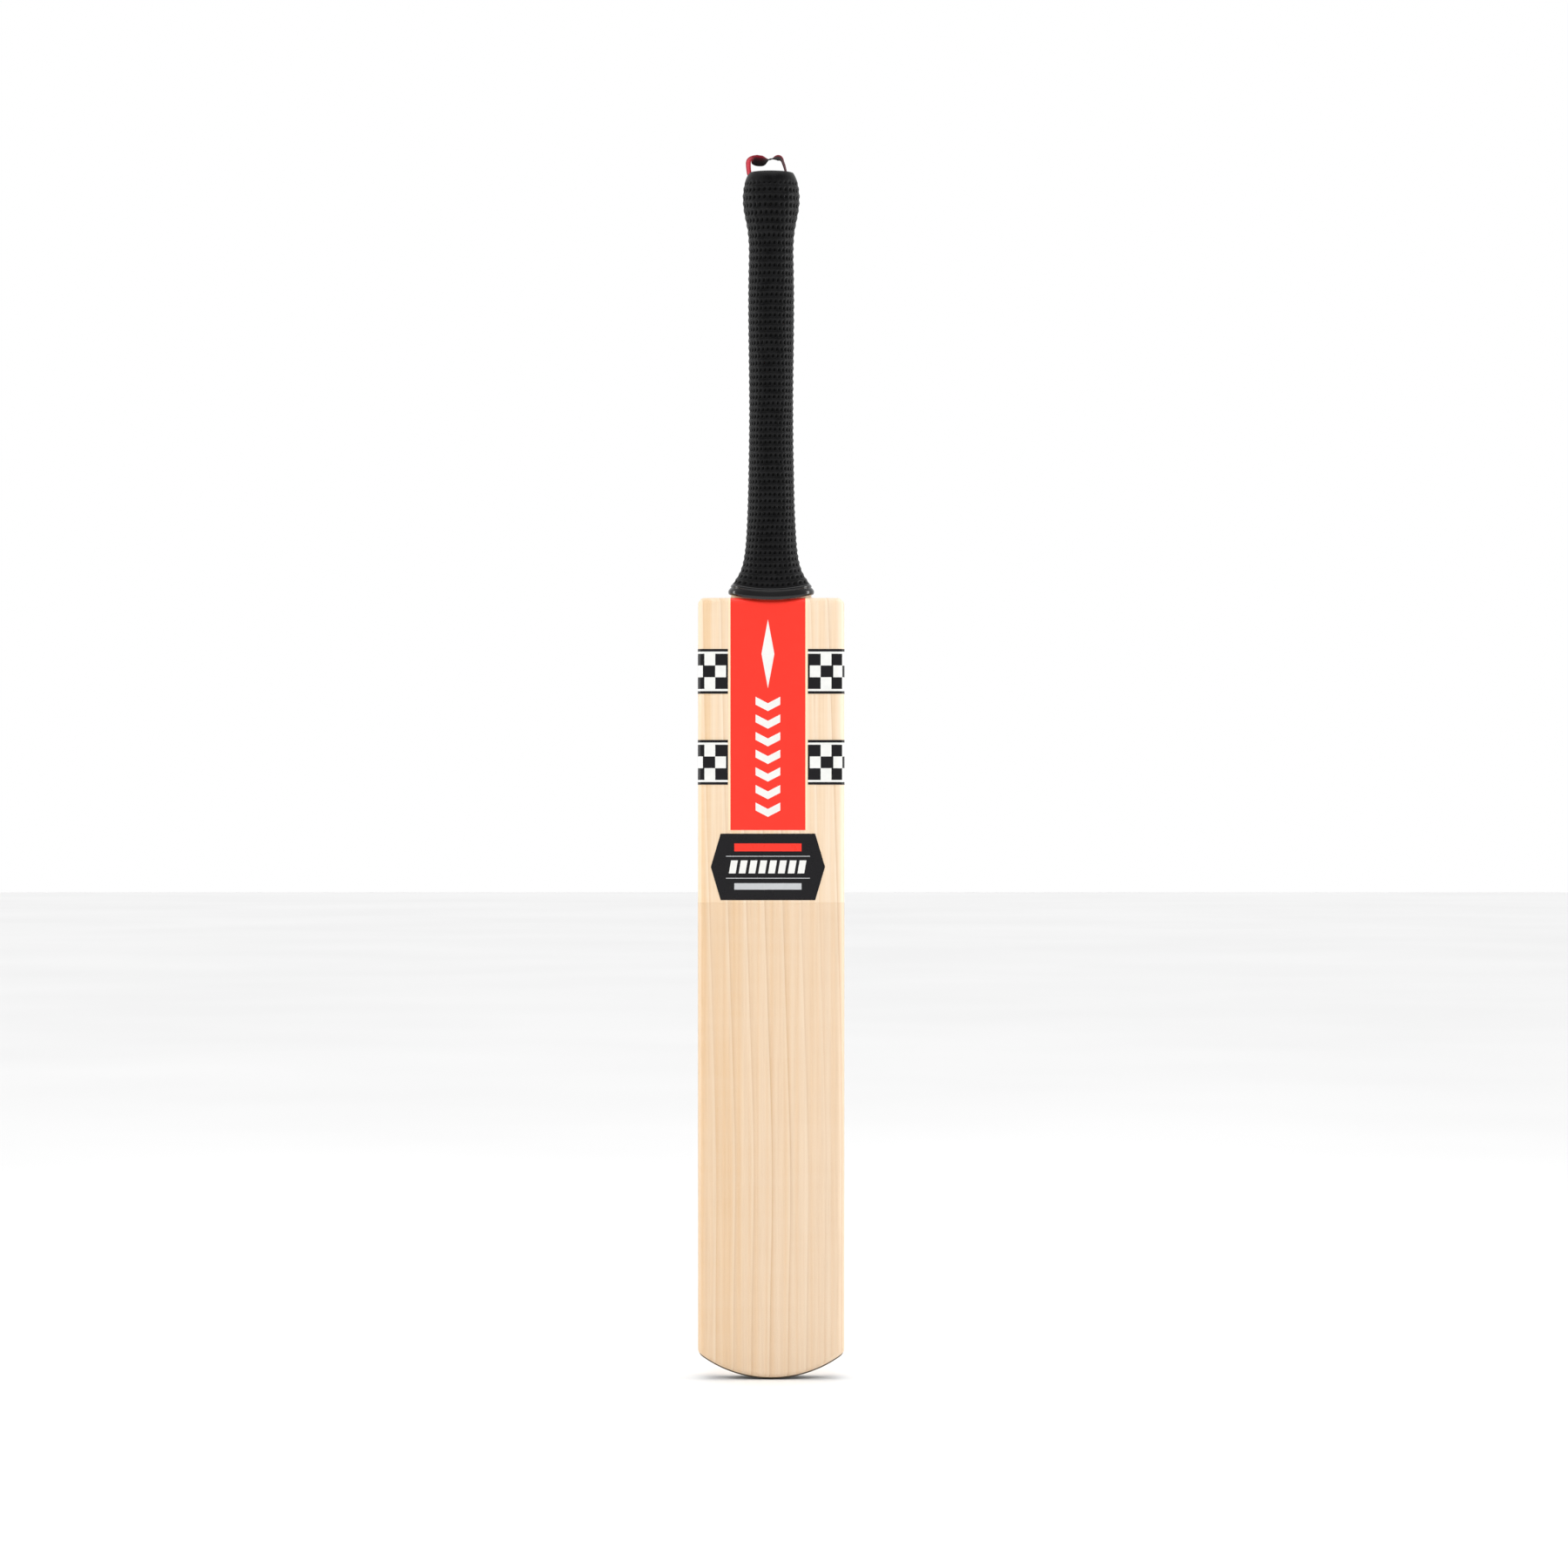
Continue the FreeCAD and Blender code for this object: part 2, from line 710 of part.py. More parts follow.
face_zone = block("face_zone", f"-{FAR}", FAR, f"-{FAR}", "0", f"-{FAR}", FAR)
face_skin = common("face_skin", sticker_skin, face_zone)
subpart(common("badge_piece", face_skin, badge_body()), "badge")

# ---------------------------------------------------------------- checks and files

doc.recompute()
for thing in doc.Objects:
    if "Invalid" in thing.State or "Error" in thing.State:
        raise RuntimeError(f"{thing.Name} failed: {thing.State}")

os.makedirs("parts", exist_ok=True)
for thing in subparts:
    shape = thing.Shape
    if shape.isNull() or not shape.isValid() or len(shape.Solids) != 1:
        raise RuntimeError(f"{thing.Label} is not one valid solid")
    shape.exportStep(f"parts/{thing.Label}.step")
    box = shape.BoundBox
    print(
        f"{thing.Label:28s} {shape.Volume / 1000:9.3f} cm3"
        f"  x {box.XMin:7.1f} {box.XMax:7.1f}  y {box.YMin:6.1f} {box.YMax:6.1f}"
        f"  z {box.ZMin:7.1f} {box.ZMax:7.1f}"
    )
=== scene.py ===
import math

import bmesh
import bpy
from mathutils import Matrix, Vector
from mathutils.bvhtree import BVHTree


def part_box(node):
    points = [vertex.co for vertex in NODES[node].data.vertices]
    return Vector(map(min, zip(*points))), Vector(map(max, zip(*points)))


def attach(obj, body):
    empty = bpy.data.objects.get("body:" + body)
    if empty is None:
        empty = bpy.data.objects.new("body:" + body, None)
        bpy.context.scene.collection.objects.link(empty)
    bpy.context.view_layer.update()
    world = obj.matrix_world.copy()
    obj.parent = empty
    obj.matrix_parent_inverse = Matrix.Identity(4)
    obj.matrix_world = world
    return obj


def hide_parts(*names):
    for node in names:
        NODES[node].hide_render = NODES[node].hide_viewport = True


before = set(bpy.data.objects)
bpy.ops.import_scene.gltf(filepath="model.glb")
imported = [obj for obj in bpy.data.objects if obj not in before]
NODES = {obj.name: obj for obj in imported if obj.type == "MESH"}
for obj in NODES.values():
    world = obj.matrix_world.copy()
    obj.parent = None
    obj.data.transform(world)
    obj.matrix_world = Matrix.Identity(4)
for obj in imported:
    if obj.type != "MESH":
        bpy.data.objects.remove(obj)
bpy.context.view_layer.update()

MM = 0.001
ROOT = "root"

# Heights are measured up from the toe; the face is where the stickers' fronts lie
BADGE_LOW, BADGE_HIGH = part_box("badge")
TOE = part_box("toe_guard")[0].z
FACE = BADGE_LOW.y
PRINT_MIDDLE = (BADGE_LOW.x + BADGE_HIGH.x) / 2


def height(millimetres):
    """A height above the toe, as a place in the frame."""
    return TOE + millimetres * MM


# ---------------------------------------------------------------- camera

# How much of the bat's plane the square view takes in, in metres
VIEW_HEIGHT = 1.1205
LENS = 100.0
SENSOR = 36.0
AIM_ACROSS = 9.2 * MM
AIM_HEIGHT = height(425.5)


def make_camera():
    """A long lens square on to the hitting face, a little to the right of its middle."""
    data = bpy.data.cameras.new("camera")
    data.lens = LENS
    data.sensor_width = SENSOR
    camera = bpy.data.objects.new("camera", data)
    bpy.context.collection.objects.link(camera)
    distance = VIEW_HEIGHT * LENS / SENSOR
    camera.location = (AIM_ACROSS, FACE - distance, AIM_HEIGHT)
    camera.rotation_euler = (math.radians(90), 0, 0)
    bpy.context.scene.camera = camera


make_camera()

# ---------------------------------------------------------------- node helpers

# Smooth noise stays mostly between these two values
NOISE_SPAN = (0.3, 0.7)


class Shade:
    """One procedural material: short ways to add nodes that feed its shader."""

    def __init__(self, name, roughness=0.5, specular=0.5, coat=0.0, coat_roughness=0.1, sheen=0.0):
        self.material = bpy.data.materials.new(name)
        self.material.use_nodes = True
        self.tree = self.material.node_tree
        self.shader = self.tree.nodes["Principled BSDF"]
        self.shader.inputs["Roughness"].default_value = roughness
        self.shader.inputs["Specular IOR Level"].default_value = specular
        self.shader.inputs["Coat Weight"].default_value = coat
        self.shader.inputs["Coat Roughness"].default_value = coat_roughness
        self.shader.inputs["Sheen Weight"].default_value = sheen
        self.place = self.tree.nodes.new("ShaderNodeTexCoord")
        self.point = self.place.outputs["Object"]
        split = self.tree.nodes.new("ShaderNodeSeparateXYZ")
        self.tree.links.new(self.point, split.inputs[0])
        self.x, self.y, self.z = split.outputs

    def feed(self, socket, value):
        """Link a socket to another node's output, or set it to a plain value."""
        if isinstance(value, bpy.types.NodeSocket):
            self.tree.links.new(value, socket)
        elif value is not None:
            socket.default_value = value

    def math(self, operation, first, second=None, clamp=False):
        node = self.tree.nodes.new("ShaderNodeMath")
        node.operation = operation
        node.use_clamp = clamp
        for socket, value in zip(node.inputs, (first, second)):
            self.feed(socket, value)
        return node.outputs[0]

    def add(self, first, second):
        return self.math("ADD", first, second)

    def sub(self, first, second):
        return self.math("SUBTRACT", first, second)

    def mul(self, first, second):
        return self.math("MULTIPLY", first, second)

    def above(self, value, limit):
        return self.math("GREATER_THAN", value, limit)

    def below(self, value, limit):
        return self.math("LESS_THAN", value, limit)

    def both(self, first, second):
        return self.math("MULTIPLY", first, second)

    def either(self, first, second):
        return self.math("MAXIMUM", first, second)

    def join(self, x, y, z):
        node = self.tree.nodes.new("ShaderNodeCombineXYZ")
        for socket, value in zip(node.inputs, (x, y, z)):
            self.feed(socket, value)
        return node.outputs[0]

    def stretched(self, sx, sy, sz):
        """Places on the object, with each axis scaled to give a texture its grain."""
        node = self.tree.nodes.new("ShaderNodeVectorMath")
        node.operation = "MULTIPLY"
        self.feed(node.inputs[0], self.point)
        node.inputs[1].default_value = (sx, sy, sz)
        return node.outputs[0]

    def noise(self, vector, scale=1.0, detail=2.0, roughness=0.5):
        """Smooth noise, which stays mostly between the two values of NOISE_SPAN."""
        node = self.tree.nodes.new("ShaderNodeTexNoise")
        self.feed(node.inputs["Vector"], vector)
        node.inputs["Scale"].default_value = scale
        node.inputs["Detail"].default_value = detail
        node.inputs["Roughness"].default_value = roughness
        return node.outputs["Fac"]

    def cells(self, vector, scale=1.0):
        """Distance to the nearest of many scattered points."""
        node = self.tree.nodes.new("ShaderNodeTexVoronoi")
        self.feed(node.inputs["Vector"], vector)
        node.inputs["Scale"].default_value = scale
        return node.outputs["Distance"]

    def ramp(self, value, stops):
        """Colours or greys along a value: stops are (place, colour or grey)."""
        node = self.tree.nodes.new("ShaderNodeValToRGB")
        elements = node.color_ramp.elements
        while len(elements) < len(stops):
            elements.new(0.5)
        for element, (place, colour) in zip(elements, stops):
            element.position = place
            grey = isinstance(colour, (int, float))
            element.color = (colour, colour, colour, 1) if grey else (*colour, 1)
        self.feed(node.inputs[0], value)
        return node.outputs[0]

    def fit(self, value, low, high, new_low, new_high):
        """Carry one range of a value over to another, and hold it at the ends."""
        node = self.tree.nodes.new("ShaderNodeMapRange")
        self.feed(node.inputs[0], value)
        for socket, number in zip(node.inputs[1:5], (low, high, new_low, new_high)):
            socket.default_value = number
        return node.outputs[0]

    def spread(self, noise, new_low, new_high):
        """Carry the usual span of a noise over to another range."""
        return self.fit(noise, *NOISE_SPAN, new_low, new_high)

    def blend(self, factor, first, second):
        """From the first colour to the second as the factor goes from 0 to 1."""
        node = self.tree.nodes.new("ShaderNodeMix")
        node.data_type = "RGBA"
        self.feed(node.inputs[0], factor)
        for socket, value in ((node.inputs[6], first), (node.inputs[7], second)):
            self.feed(socket, self.opaque(value))
        return node.outputs[2]

    @staticmethod
    def opaque(value):
        """A plain colour with its alpha added; anything else as it is."""
        return (*value, 1) if isinstance(value, tuple) else value

    def colour(self, value):
        self.feed(self.shader.inputs["Base Color"], self.opaque(value))

    def rough(self, value):
        self.feed(self.shader.inputs["Roughness"], value)

    def bump(self, value, depth, strength=1.0):
        node = self.tree.nodes.new("ShaderNodeBump")
        node.inputs["Strength"].default_value = strength
        node.inputs["Distance"].default_value = depth
        self.feed(node.inputs["Height"], value)
        self.tree.links.new(node.outputs[0], self.shader.inputs["Normal"])


def srgb(red, green, blue):
    """A colour given as it looks on a screen, out of 255, as the linear colour a shader takes."""
    linear = []
    for level in (red, green, blue):
        share = level / 255
        linear.append(share / 12.92 if share <= 0.04045 else ((share + 0.055) / 1.055) ** 2.4)
    return tuple(linear)


# ---------------------------------------------------------------- materials

WILLOW_BASE = srgb(243, 223, 199)
WILLOW_LOW = srgb(239, 214, 184)
WILLOW_PALE = srgb(244, 227, 205)
WILLOW_LINE = srgb(200, 160, 116)
WILLOW_WARM = srgb(236, 202, 158)
KNOT_BROWN = srgb(205, 140, 80)

# Growth lines: how far apart, how they lean up the blade and into it, and how far they wander
RING_PITCH = 12.4 * MM
RING_LEAN = 0.0145
RING_DEPTH_LEAN = 0.35
RING_WANDER = 4.5 * MM
RING_START = 40.18
RING_LINE = ((0.0, 0.0), (0.025, 1.0), (0.06, 0.5), (0.18, 0.1), (0.45, 0.0), (1.0, 0.0))
RING_PALE = ((0.0, 0.6), (0.02, 0.0), (0.8, 0.0), (0.97, 1.0), (1.0, 0.6))
# Half the blade's width, over which painted shade turns the wood from warm and darker on the left
# to pale on the right
SIDE_SHADE_HALF_WIDTH = 52 * MM
FLECK_SIZE = 0.028
FLECK_RARITY = 0.52


def willow(name, roughness=0.5):
    """Pale willow: straight dark growth lines up the blade, a soft pale stripe beside each, painted
    shade on the left.
    """
    wood = Shade(name, roughness=roughness, coat=0.05, coat_roughness=0.25)
    drift = wood.noise(wood.stretched(5, 5, 2.2), detail=1.0)
    shifted = wood.add(wood.x, wood.mul(wood.z, RING_LEAN))
    shifted = wood.add(shifted, wood.mul(wood.y, RING_DEPTH_LEAN))
    shifted = wood.add(shifted, wood.spread(drift, -RING_WANDER, RING_WANDER))
    turns = wood.add(wood.math("DIVIDE", shifted, RING_PITCH), RING_START)
    share = wood.math("FRACT", turns)
    number = wood.math("FLOOR", turns)
    vary = wood.noise(wood.join(number, 3.7, 1.3), scale=1.7, detail=0.0)
    line = wood.ramp(share, RING_LINE)
    strength = wood.spread(vary, 0.35, 0.95)
    pale = wood.ramp(share, RING_PALE)

    fibre = wood.noise(wood.stretched(900, 900, 14), detail=3.0, roughness=0.6)
    broad = wood.noise(wood.stretched(60, 60, 3))
    streak = wood.noise(wood.stretched(230, 230, 1.6))
    shimmer = wood.noise(wood.stretched(16, 16, 140), roughness=0.6)
    # Painted shade: the left side is painted warmer and darker than the right; apart from that the
    # wood grows a little warmer towards the top
    left = wood.fit(wood.x, -SIDE_SHADE_HALF_WIDTH, SIDE_SHADE_HALF_WIDTH, 0.8, 0.0)
    upper = wood.fit(wood.z, height(20), height(220), 0.0, 0.3)

    warm = wood.math("ADD", left, wood.mul(upper, 0.5), clamp=True)
    colour = wood.blend(warm, WILLOW_BASE, WILLOW_WARM)
    colour = wood.blend(wood.fit(broad, 0.35, 0.7, 0.0, 0.35), colour, WILLOW_LOW)
    colour = wood.blend(wood.fit(streak, 0.42, 0.66, 0.0, 0.5), colour, WILLOW_PALE)
    colour = wood.blend(wood.fit(streak, 0.5, 0.3, 0.0, 0.3), colour, WILLOW_WARM)
    colour = wood.blend(wood.mul(pale, 0.55), colour, WILLOW_PALE)
    colour = wood.blend(wood.mul(wood.mul(line, strength), 0.62), colour, WILLOW_LINE)
    colour = wood.blend(wood.fit(fibre, 0.35, 0.75, 0.0, 0.22), colour, WILLOW_LINE)
    colour = wood.blend(wood.fit(shimmer, 0.35, 0.7, 0.0, 0.12), colour, WILLOW_PALE)

    flecks = wood.cells(wood.stretched(1, 1, 0.22), scale=34.0)
    rare = wood.noise(wood.stretched(1, 1, 1), scale=23.0, detail=0.0)
    fleck = wood.both(wood.below(flecks, FLECK_SIZE), wood.above(rare, FLECK_RARITY))
    wood.colour(wood.blend(wood.mul(fleck, 0.6), colour, KNOT_BROWN))
    wood.rough(wood.spread(fibre, roughness - 0.06, roughness + 0.1))
    wood.bump(wood.add(fibre, wood.mul(line, -0.6)), 0.06 * MM, 0.5)
    return wood.material


def film_coat(name):
    """Clear anti-scuff film: glossy, slightly warm, with faint scuffs along the grain."""
    film = Shade(name, roughness=0.16, specular=0.5)
    scuff = film.noise(film.stretched(260, 260, 22), detail=3.0, roughness=0.7)
    wave = film.noise(film.stretched(22, 22, 9), detail=1.0)
    film.colour(srgb(222, 192, 154))
    film.rough(film.fit(scuff, 0.35, 0.75, 0.14, 0.36))
    film.bump(film.add(wave, film.mul(scuff, 0.15)), 0.12 * MM, 0.4)
    film.shader.inputs["Alpha"].default_value = 0.14
    return film.material


def vinyl(name, colour, roughness=0.28):
    """A printed vinyl sticker: even ink, a satin top and the faint grain of the wood below."""
    ink = Shade(name, roughness=roughness, specular=0.25, coat=0.08, coat_roughness=0.12)
    mottle = ink.noise(ink.stretched(160, 160, 160))
    telegraph = ink.noise(ink.stretched(500, 500, 10))
    tone = tuple(level * 0.9 for level in colour)
    ink.colour(ink.blend(ink.spread(mottle, 0.0, 0.5), colour, tone))
    ink.rough(ink.spread(mottle, roughness - 0.05, roughness + 0.08))
    ink.bump(telegraph, 0.03 * MM, 0.35)
    return ink.material


RED = srgb(252, 56, 42)
INK_BLACK = srgb(18, 17, 20)
INK_WHITE = srgb(238, 238, 234)
INK_GREY = srgb(196, 198, 200)
BORDER_CREAM = srgb(250, 226, 190)
LABEL_BORDER = 1.3 * MM


def red_label(name):
    """Red sticker with a thin cream border down both sides."""
    ink = Shade(name, roughness=0.3, specular=0.25, coat=0.08, coat_roughness=0.12)
    low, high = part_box("front_label")
    from_middle = ink.math("ABSOLUTE", ink.sub(ink.x, PRINT_MIDDLE))
    beside = ink.above(from_middle, (high.x - low.x) / 2 - LABEL_BORDER)
    mottle = ink.noise(ink.stretched(120, 120, 120))
    base = ink.blend(ink.spread(mottle, 0.0, 0.4), RED, srgb(246, 52, 39))
    ink.colour(ink.blend(beside, base, BORDER_CREAM))
    ink.bump(ink.noise(ink.stretched(500, 500, 10)), 0.03 * MM, 0.35)
    return ink.material


# How far a surface must turn from the face to count as the blade's side
STEEP = 0.72
# Where the side turns on to the back, level with each pair of bands
BACK_EDGES = {"upper": 9.1 * MM, "lower": 13.6 * MM}
CHEQUER_ROWS = 3
# Black line along the band's top and bottom, and the white line inside it
CHEQUER_RULE = 1.9 * MM
CHEQUER_GAP = 1.5 * MM
# Black share of each pair of squares, and how far every other row is shifted
CHEQUER_BLACK = 0.54
CHEQUER_SHIFT = 0.46


def chequers(name, node):
    """Three rows of black and white squares between a white and a black line, round the edge."""
    ink = Shade(name, roughness=0.3, specular=0.25, coat=0.08, coat_roughness=0.12)
    low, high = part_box(node)
    tall = high.z - low.z
    frame_width = CHEQUER_RULE + CHEQUER_GAP
    square = (tall - 2 * frame_width) / CHEQUER_ROWS
    start = min(abs(low.x), abs(high.x))
    side = max(abs(low.x), abs(high.x))
    back_edge = BACK_EDGES[node.split("_")[1]]
    up = ink.sub(ink.z, low.z)
    on_rule = ink.either(ink.below(up, CHEQUER_RULE), ink.above(up, tall - CHEQUER_RULE))
    in_gap = ink.either(ink.below(up, frame_width), ink.above(up, tall - frame_width))
    row = ink.math("FLOOR", ink.math("DIVIDE", ink.sub(up, frame_width), square))
    odd = ink.math("FLOORED_MODULO", row, 2.0)

    across = ink.math("ABSOLUTE", ink.x)
    facing = ink.tree.nodes.new("ShaderNodeSeparateXYZ")
    ink.tree.links.new(ink.place.outputs["Normal"], facing.inputs[0])
    on_side = ink.above(ink.math("ABSOLUTE", facing.outputs[0]), STEEP)
    on_back = ink.both(ink.above(facing.outputs[1], 0.0), ink.sub(1.0, on_side))

    # Distance round the blade from the band's inner end: over the face and side, then the back
    round_front = ink.add(ink.sub(across, start), ink.sub(ink.y, FACE))
    round_back = ink.sub(side - start + back_edge - FACE + side, across)
    along = ink.add(ink.mul(round_front, ink.sub(1.0, on_back)), ink.mul(round_back, on_back))
    turns = ink.math("DIVIDE", along, 2 * square)
    share = ink.math("FRACT", ink.add(turns, ink.mul(odd, CHEQUER_SHIFT)))
    black = ink.mul(ink.below(share, CHEQUER_BLACK), ink.sub(1.0, in_gap))
    black = ink.either(black, on_rule)
    smudge = ink.noise(ink.stretched(220, 220, 220))
    white = ink.blend(ink.fit(smudge, 0.35, 0.7, 0.0, 0.5), INK_WHITE, srgb(226, 227, 224))
    ink.colour(ink.blend(black, white, INK_BLACK))
    ink.bump(ink.noise(ink.stretched(400, 400, 12)), 0.03 * MM, 0.3)
    return ink.material


def grip_rubber(name):
    """Black moulded rubber: satin ridges with a trace of dust, painted shade dead black inside the
    dimples.
    """
    rubber = Shade(name, roughness=0.4, specular=0.14)
    depth = rubber.tree.nodes.new("ShaderNodeAttribute")
    depth.attribute_name = "dimple"
    hollow_shade = depth.outputs["Fac"]
    grain = rubber.noise(rubber.stretched(1, 1, 1), scale=2600.0)
    wear = rubber.noise(rubber.stretched(1, 1, 1), scale=140.0, detail=3.0)
    ridge = rubber.blend(rubber.fit(wear, 0.35, 0.7, 0.0, 1.0), srgb(7, 7, 8), srgb(20, 20, 21))
    # Painted shade: the colour turns dead black down inside the dimples, where shade falls
    rubber.colour(rubber.blend(hollow_shade, ridge, srgb(1, 1, 1)))
    rubber.rough(rubber.add(rubber.spread(wear, 0.34, 0.46), rubber.mul(hollow_shade, 0.5)))
    rubber.bump(grain, 0.04 * MM, 0.35)
    return rubber.material


def gloss_black(name):
    """Smooth black ring with a hard shine."""
    gloss = Shade(name, roughness=0.14, specular=0.35, coat=0.3, coat_roughness=0.04)
    ripple = gloss.noise(gloss.stretched(60, 60, 160))
    gloss.colour(gloss.blend(gloss.spread(ripple, 0.0, 1.0), srgb(6, 6, 8), srgb(12, 12, 14)))
    gloss.rough(gloss.spread(ripple, 0.1, 0.2))
    gloss.bump(ripple, 0.05 * MM, 0.3)
    return gloss.material


def cane(name):
    """Laminated cane: straw brown with long dark pores."""
    wood = Shade(name, roughness=0.55)
    pores = wood.noise(wood.stretched(1100, 1100, 26), roughness=0.6)
    tone = wood.noise(wood.stretched(60, 60, 6))
    colour = wood.blend(wood.spread(tone, 0.0, 1.0), srgb(214, 176, 122), srgb(190, 148, 96))
    colour = wood.blend(wood.fit(pores, 0.52, 0.7, 0.0, 0.75), colour, srgb(112, 76, 42))
    wood.colour(colour)
    wood.bump(pores, 0.08 * MM, 0.6)
    return wood.material


def sheet_rubber(name, light, dark):
    """Thin matt rubber with a fine speckle."""
    rubber = Shade(name, roughness=0.75, specular=0.3)
    speckle = rubber.noise(rubber.stretched(1, 1, 1), scale=900.0, detail=3.0)
    rubber.colour(rubber.blend(rubber.fit(speckle, 0.35, 0.7, 0.0, 1.0), light, dark))
    rubber.bump(speckle, 0.05 * MM, 0.5)
    return rubber.material


TWINE_PITCH = 0.9 * MM


def wound_twine(name):
    """Waxed linen thread laid in close turns round the handle, with painted shade in the grooves
    between turns.
    """
    thread = Shade(name, roughness=0.7, sheen=0.3)
    turn = thread.math("FRACT", thread.math("DIVIDE", thread.z, TWINE_PITCH))
    crown = thread.math("SINE", thread.mul(turn, math.pi))
    fluff = thread.noise(thread.stretched(700, 700, 2200), detail=3.0)
    # Painted shade: the thread darkens towards the grooves between turns and is palest on each
    # crown
    colour = thread.blend(crown, srgb(120, 104, 78), srgb(206, 192, 160))
    thread.colour(thread.blend(thread.fit(fluff, 0.4, 0.7, 0.0, 0.4), colour, srgb(150, 134, 104)))
    thread.bump(thread.add(crown, thread.mul(fluff, 0.2)), 0.35 * MM, 0.8)
    return thread.material


WELD_REACH = 0.002 * MM
SHARP_ANGLE = math.radians(32)


def dress(node, material):
    """Give a carried-over CAD node its finish and an even shading."""
    mesh_object = NODES[node]
    mesh_object.data.materials.clear()
    mesh_object.data.materials.append(material)
    weld = mesh_object.modifiers.new("weld", "WELD")
    weld.merge_threshold = WELD_REACH
    split = mesh_object.modifiers.new("split", "EDGE_SPLIT")
    split.split_angle = SHARP_ANGLE
    mesh_object.modifiers.new("even", "WEIGHTED_NORMAL")


# The film's back lies exactly on the wood, so the film swells by this much to part the two
FILM_LIFT = 0.03 * MM


def dress_cad_nodes():
    """Finish every CAD node that shows as it is."""
    dress("blade", willow("willow_blade"))
    dress("face_film", film_coat("clear_film"))
    lift = NODES["face_film"].modifiers.new("lift", "DISPLACE")
    lift.strength = FILM_LIFT
    lift.mid_level = 0
    dress("toe_guard", sheet_rubber("toe_rubber", srgb(96, 84, 66), srgb(66, 56, 44)))
    dress("front_label", red_label("label_red"))
    dress("badge", vinyl("badge_black", INK_BLACK))
    dress("twine_binding", wound_twine("twine_wound"))
    cane_wood = cane("cane_laminated")
    spring = sheet_rubber("spring_rubber", srgb(40, 36, 34), srgb(24, 22, 21))
    for node in NODES:
        if node.startswith("cane_"):
            dress(node, cane_wood)
        if node.startswith("rubber_spring_"):
            dress(node, spring)
        if node.startswith("band_"):
            dress(node, chequers("print_" + node, node))


dress_cad_nodes()

# ---------------------------------------------------------------- mesh helpers


def finished_mesh(name, vertices, faces, material, smooth=True):
    """A new object in the scene, with one material."""
    mesh = bpy.data.meshes.new(name)
    mesh.from_pydata(vertices, [], faces)
    mesh.update()
    for polygon in mesh.polygons:
        polygon.use_smooth = smooth
    mesh.materials.append(material)
    thing = bpy.data.objects.new(name, mesh)
    bpy.context.collection.objects.link(thing)
    return thing


def ring_skin(name, rings, material, join_ends=False):
    """Skin over a stack of rings, each a list of points with the same count."""
    vertices = [point for ring in rings for point in ring]
    count = len(rings[0])
    faces = []
    last = len(rings) if join_ends else len(rings) - 1
    for level in range(last):
        above = (level + 1) % len(rings)
        for step in range(count):
            beside = (step + 1) % count
            lower = (level * count + step, level * count + beside)
            upper = (above * count + beside, above * count + step)
            faces.append(lower + upper)
    return finished_mesh(name, vertices, faces, material)


def smooth_step(value, low, high):
    """From 0 to 1 between two limits, with no corner at either end."""
    share = min(1.0, max(0.0, (value - low) / (high - low)))
    return share * share * (3 - 2 * share)


def surface_of(node):
    """A fast lookup of a CAD node's outer surface."""
    mesh = NODES[node].data
    corners = [vertex.co.copy() for vertex in mesh.vertices]
    polygons = [tuple(polygon.vertices) for polygon in mesh.polygons]
    return BVHTree.FromPolygons(corners, polygons)


# Outside every part of the handle
CAST_FROM = 80 * MM
# A line of sight that runs exactly along a seam can slip through, so it is turned by a hair
SEAM_NUDGES = (0.0004, -0.0007, 0.0021, -0.004)


def outer_radius(tree, angle, level, fallback):
    """How far the outer surface stands from the handle's axis, or the fallback if it isn't met."""
    for nudge in SEAM_NUDGES:
        away = Vector((math.cos(angle + nudge), math.sin(angle + nudge), 0))
        hit = tree.ray_cast(away * CAST_FROM + Vector((0, 0, level)), -away)
        if hit[0] and hit[0].xy.dot(away.xy) > 0:
            return hit[0].xy.length
    return fallback


# ---------------------------------------------------------------- collar line

# The collar and the grip's foot follow an arc of this radius, lowest in the middle
COLLAR_RADIUS = 110 * MM
COLLAR_FOOT = height(557)
COLLAR_HEIGHT = 8 * MM
# The arc is used no further out than this
ARC_REACH = 0.9 * COLLAR_RADIUS
# Height and radius depend on each other, and settle in this many rounds
SETTLING_ROUNDS = 3


def climb_at(across):
    """How far the collar's line climbs above its lowest point, this far from the middle."""
    return COLLAR_RADIUS - math.sqrt(COLLAR_RADIUS**2 - min(across, ARC_REACH) ** 2)


# ---------------------------------------------------------------- grip

# Dimples in each ring, and the mesh steps across and up one dimple
PIT_COLUMNS = 31
STEPS_ACROSS = 8
STEPS_UP = 6
# The ridges' crests stay level with the smooth sleeve
RIDGE = 0.5 * MM
PIT_DEPTH = 0.75 * MM
RELIEF_FLOOR = -0.5 * MM
# Half height, half width and slant of a dimple as shares of its cell
PIT_TALL = 0.33
PIT_WIDE = 0.30
PIT_SLANT = 0.08
PIT_ROUNDING = 0.6
RIDGE_SHARPNESS = 1.2
# Each ring of dimples is turned a little from the one below, to and fro
ROW_TURN = 0.5
ROW_TURN_STEP = 0.35
RIM_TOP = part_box("grip")[1].z
# The sleeve's foot, hidden inside the collar
SKIRT = 1.6 * MM
SKIRT_INSET = 0.2 * MM
SKIRT_FLARE = 0.7 * MM
GRIP_FOOT = COLLAR_FOOT + COLLAR_HEIGHT
# The rings of dimples follow the collar's arc at the foot and are level from here up
LEVEL_FROM = GRIP_FOOT + 45 * MM
# The lowest place above the sleeve's foot where its surface is looked up
FOOT_CLEARANCE = 0.5 * MM
